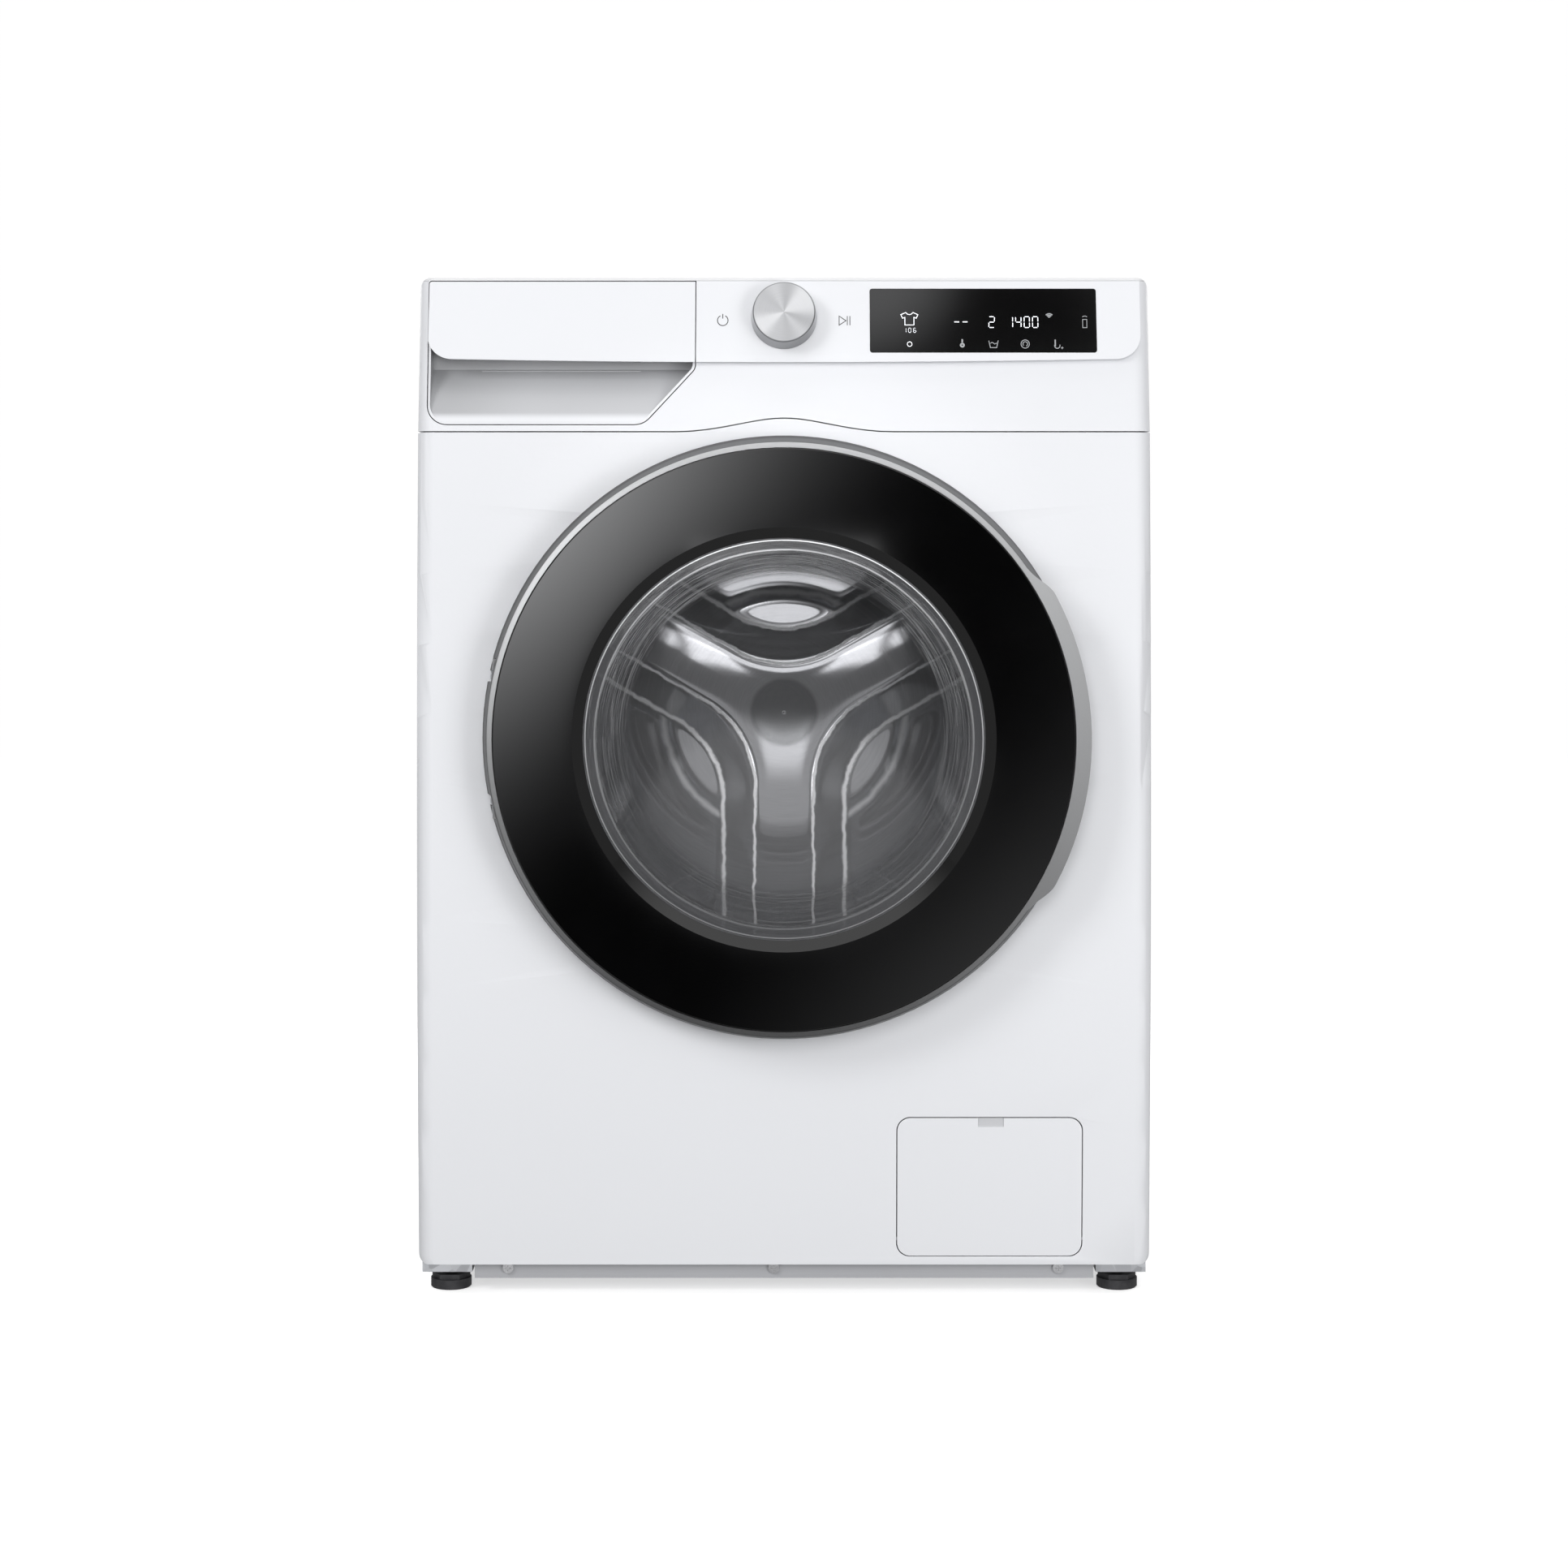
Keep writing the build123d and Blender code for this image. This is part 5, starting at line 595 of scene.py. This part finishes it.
def display_marks():
    """What the display shows: a garment outline, digits and bars that glow, and dim signs below them."""
    bright, dim = [], []
    shirt = [(-7, 3.4), (-3, 5.2), (-1.7, 3.9), (0, 3.4), (1.7, 3.9), (3, 5.2), (7, 3.4), (5.6, 0.4), (3.7, 1.2),
             (3.7, -5.2), (-3.7, -5.2), (-3.7, 1.2), (-5.6, 0.4)]
    bright.append((np.array(shirt) + (102.8, 798.0), 0.5, True))
    for k, sign in enumerate("106"):
        bright += [(p, 0.3, False) for p in digit(sign, (99.0 + 4.0 * k, 788.4), 2.0, 3.6)]
    bright.append((ring((102.8, 776.9), 1.9), 0.45, True))
    for x in (141.6, 148.4):
        bright.append(([(x - 2.0, 795.4), (x + 2.0, 795.4)], 0.7, False))
    bright += [(p, 0.6, False) for p in digit("2", (170.2, 795.2), 4.6, 9.0)]
    for k, sign in enumerate("1400"):
        bright += [(p, 0.6, False) for p in digit(sign, (185.2 + 6.9 * k, 795.2), 4.4, 9.0)]
    for radius in (1.1, 2.4, 3.7):
        dim.append((arc((217.4, 798.4), radius, 45, 135, 12), 0.9, False))
    dim.append(([(145.9, 778.2), (145.9, 781.0)], 1.3, False))
    dim.append((ring((145.9, 776.0), 1.3, 20), 1.3, True))
    dim.append(([(167.6, 779.8), (168.9, 774.0), (174.0, 774.0), (175.3, 779.8)], 0.6, False))
    dim.append(([(168.9, 777.6), (170.4, 778.4), (172.4, 777.0), (174.2, 777.8)], 0.5, False))
    dim.append((ring((197.4, 777.0), 3.4), 0.55, True))
    dim.append((arc((197.4, 777.0), 1.9, -60, 220), 0.6, False))
    dim.append(([(222.0, 775.0), (222.0, 780.6)], 1.0, False))
    dim.append((arc((223.6, 775.6), 2.2, 150, 380), 0.6, False))
    dim.append(([(226.6, 773.8), (228.6, 773.8)], 0.5, False))
    dim.append(([(227.6, 772.8), (227.6, 774.8)], 0.5, False))
    dim.append(([(244.8, 790.6), (248.2, 790.6), (248.2, 797.4), (244.8, 797.4)], 0.5, True))
    dim.append((arc((246.5, 797.2), 3.0, 50, 130, 12), 0.5, False))
    on_band("display_bright_marks", bright, lit("display_white_glow", rgb(0.92, 0.95, 1.0), 1.1))
    on_band("display_dim_marks", dim, lit("display_dim_glow", rgb(0.30, 0.31, 0.32), 0.45))


def touch_signs():
    """Thin grey signs of the two touch fields: a broken ring with a bar, and a triangle with two bars."""
    signs = [(arc((-50.2, 796.6), 4.3, 118, 422, 40), 0.7, False), ([(-50.2, 798.2), (-50.2, 802.0)], 0.7, False)]
    signs.append(([(45.2, 792.6), (45.2, 800.2), (50.8, 796.4)], 0.6, True))
    for x in (51.9, 54.0):
        signs.append(([(x, 792.6), (x, 800.2)], 0.6, False))
    ink = matt("grey_print", rgb(0.05, 0.05, 0.053), rgb(0.04, 0.04, 0.043), 0.5, 900.0, 0.00001)
    on_band("touch_signs", signs, ink)


def seam_strips():
    """White strips behind the two open ends of the seam, where the side panels are cut out below the controls."""
    white = coated("white_strip", WHITE, rgb(0.78, 0.79, 0.818), 0.30, 240.0, 0.00006)
    block = np.array(np.meshgrid((0.2962, 0.2979), (-0.2355, -0.2130), (0.6986, 0.7051), indexing="ij"))
    corners = block.reshape(3, 8).T
    faces = np.array([[0, 1, 3, 2], [4, 6, 7, 5], [0, 4, 5, 1], [2, 3, 7, 6], [0, 2, 6, 4], [1, 5, 7, 3]])
    points = np.vstack([corners, corners * (-1, 1, 1)])
    piece("seam_strips", points, [*faces, *(faces[:, ::-1] + 8)], white, "cabinet", False)


drum_dish()
display_marks()
touch_signs()
seam_strips()


def sheet(name, corners, material, seen):
    """A plain sheet in the studio that only the named kinds of ray see."""
    mesh = bpy.data.meshes.new(name)
    mesh.from_pydata(corners, [], [tuple(range(k, k + 4)) for k in range(0, len(corners), 4)])
    mesh.materials.append(material)
    made = bpy.data.objects.new(name, mesh)
    bpy.context.scene.collection.objects.link(made)
    for word in ("camera", "diffuse", "glossy", "transmission", "volume_scatter", "shadow"):
        setattr(made, "visible_" + word, word in seen)


def upright(y, left, right, low, high):
    return [(left, y, low), (right, y, low), (right, y, high), (left, y, high)]


def door_card():
    """Card before the door that only gloss sees. Round the door's mirror place it fades from two sides, for the
    black glass. Inside that it carries the soft patches that the drum's back throws back, and two side strips."""
    finish = Finish("door_card", Base_Color=rgb(0.0), Roughness=1.0, Emission_Strength=CARD_PEAK)
    x, _, z = finish.axes()
    up = z - MIRROR_Z
    away, turn = (x * x + up * up) ** 0.5, finish.turn(up, x)
    ring = away.rise(0.43, 0.47) * (1 - away.rise(0.68, 0.74)) * (away * 6.1 - 2.25)
    glow = ring * (finish.lobe(turn, 137, 4.0) * 3.0 + finish.lobe(turn, 313, 4.0) * 0.29)
    low = 1 - z.rise(0.10, 0.19)
    inner = (1 - away.rise(0.42, 0.46)) * (low * 0.30 + 0.10)
    side = x.take("ABSOLUTE")
    inner = inner + finish.patch([x, z], (0.0, 0.105), (0.10, 0.045), 0.035)
    inner = inner + finish.patch([side, z], (0.150, 0.376), (0.070, 0.055), 0.014) * 2.2
    inner = inner + finish.patch([side, z], (0.262, 0.396), (0.022, 0.034), 0.012) * 2.0
    inner = inner + finish.patch([x, z], (0.0, 0.505), (0.20, 0.10), 0.02) * 1.6
    strips = finish.patch([side, z], (1.15, 0.0), (0.40, 1.1), 0.08) * 2.6
    strips = strips + finish.patch([x, z], (0.0, 1.5), (0.6, 0.4), 0.1) * 1.3
    around = away.rise(0.70, 0.80) * 0.4
    total = glow + inner + strips + around
    finish.feed("Emission Color", finish.mix(total / CARD_PEAK, rgb(0.0), rgb(0.98, 0.985, 1.0)))
    sheet("door_card", upright(-4.5, -2.0, 2.0, -1.4, 2.2), finish.material, ("glossy",))


def band_card():
    """Card above the camera for the leaning band: a soft patch for the knob and one for the display's left end."""
    finish = Finish("band_card", Base_Color=rgb(0.0), Roughness=1.0, Emission_Strength=CARD_PEAK)
    x, _, z = finish.axes()
    clear = 1 - finish.patch([x, z], (0.39, 2.6), (0.26, 0.14), 0.03)
    glow = finish.patch([x, z], (0.0, 2.6), (0.09, 0.12), 0.06) * 1.1 + clear * 0.9
    aside, up = x - 0.15, z - 2.70
    glow = glow + (1 - (aside * aside + up * up).rise(0.0, 0.05)) * (1 - clear) * 1.9
    finish.feed("Emission Color", finish.mix(glow / CARD_PEAK, rgb(0.0), rgb(0.98, 0.985, 1.0)))
    sheet("band_card", upright(-3.3, -0.6, 1.2, 2.25, 3.2), finish.material, ("glossy",))


def hang(lamp, spot, target, in_gloss):
    """Hangs a lamp at a spot, turned to its target, and says whether gloss mirrors it."""
    stand = bpy.data.objects.new(lamp.name, lamp)
    bpy.context.scene.collection.objects.link(stand)
    stand.visible_glossy = in_gloss
    aim = np.array(target) - np.array(spot)
    stand.location = spot
    stand.rotation_euler = (atan2(np.hypot(aim[0], aim[1]), -aim[2]), 0, atan2(-aim[0], aim[1]))


def studio():
    """Pale floor that fades into a white surround, soft lamps, cards that only gloss sees, and the camera."""
    scene = bpy.context.scene
    scene.view_settings.view_transform = "Standard"
    world = bpy.data.worlds.new("surround")
    world.use_nodes = True
    world.node_tree.nodes["Background"].inputs["Color"].default_value = rgb(1.0)
    world.node_tree.nodes["Background"].inputs["Strength"].default_value = 0.35
    scene.world = world

    pale = Finish("pale_floor", Roughness=0.9, Specular_IOR_Level=0.0,
                  Emission_Color=rgb(1.0), Emission_Strength=0.5)
    x, y = pale.axes()[:2]
    pale.feed("Base Color", pale.mix(pale.noise(2.0), rgb(0.93), rgb(0.95)))
    pale.feed("Alpha", 1 - (x * x + y * y).rise(0.5, 2.4))
    corners = [(-2, -2, 0), (2, -2, 0), (2, 2, 0), (-2, 2, 0)]
    sheet("floor", corners, pale.material, ("camera", "shadow"))

    white = Finish("white_surround", Base_Color=rgb(0.0), Roughness=1.0,
                   Emission_Color=rgb(1.0), Emission_Strength=1.0)
    walls = upright(-20, -20, 20, -1, 20) + upright(20, 20, -20, -1, 20)
    walls += [(v, u, w) for u, v, w in walls]
    walls += [(x, y, z) for z in (-1, 20) for x, y in ((-20, -20), (20, -20), (20, 20), (-20, 20))]
    sheet("surround", walls, white.material, ("camera",))
    ceiling = Finish("ceiling_card", Base_Color=rgb(0.0), Roughness=1.0, Emission_Strength=1.2)
    x, y = ceiling.axes()[:2]
    fade = ceiling.patch([x, y], (0.0, -2.0), (3.4, 3.4), 1.4)
    ceiling.feed("Emission Color", ceiling.mix(fade, rgb(0.25), rgb(1.0)))
    sheet("ceiling_card", [(-5, -7, 3.6), (5, -7, 3.6), (5, 3, 3.6), (-5, 3, 3.6)], ceiling.material, ("glossy",))
    door_card()
    band_card()

    for name, spot, target, size, power in (
            ("key", (-2.4, -2.6, 2.3), (0, -0.2, 0.6), 1.3, 42),
            ("fill", (2.6, -3.2, 0.8), (0, -0.2, 0.3), 2.0, 20),
            ("front", (-0.2, -4.0, 1.5), (0, -0.2, 0.5), 1.4, 44),
            ("low", (1.3, -2.3, 0.35), (0.12, -0.25, 0.15), 0.9, 12),
            ("top", (0, 0.2, 3.4), (0, 0, 0), 2.6, 34),
            ("rear_left", (-2.2, 2.8, 2.0), (0, 0.1, 0.4), 1.8, 34),
            ("rear_right", (2.2, 2.8, 2.0), (0, 0.1, 0.4), 1.8, 34)):
        lamp = bpy.data.lights.new(name, "AREA")
        lamp.size, lamp.energy = size, power
        hang(lamp, spot, target, name.startswith("rear"))
    beam = bpy.data.lights.new("door_beam", "SPOT")
    beam.energy, beam.shadow_soft_size = 230, 0.12
    beam.spot_size, beam.spot_blend = radians(5.0), 0.4
    hang(beam, (0, -3.6, 1.95), (0, 0.09, 0.40), False)

    lens = bpy.data.cameras.new("photo_view")
    lens.sensor_width = SENSOR
    lens.lens = SENSOR * FOCAL_PIXELS / PHOTO_PIXELS
    lens.shift_y = -DROP_PIXELS / PHOTO_PIXELS
    viewer = bpy.data.objects.new("photo_view", lens)
    scene.collection.objects.link(viewer)
    viewer.location = (0, CAMERA_Y, CAMERA_Z)
    viewer.rotation_euler = (pi / 2, 0, 0)
    scene.camera = viewer


studio()
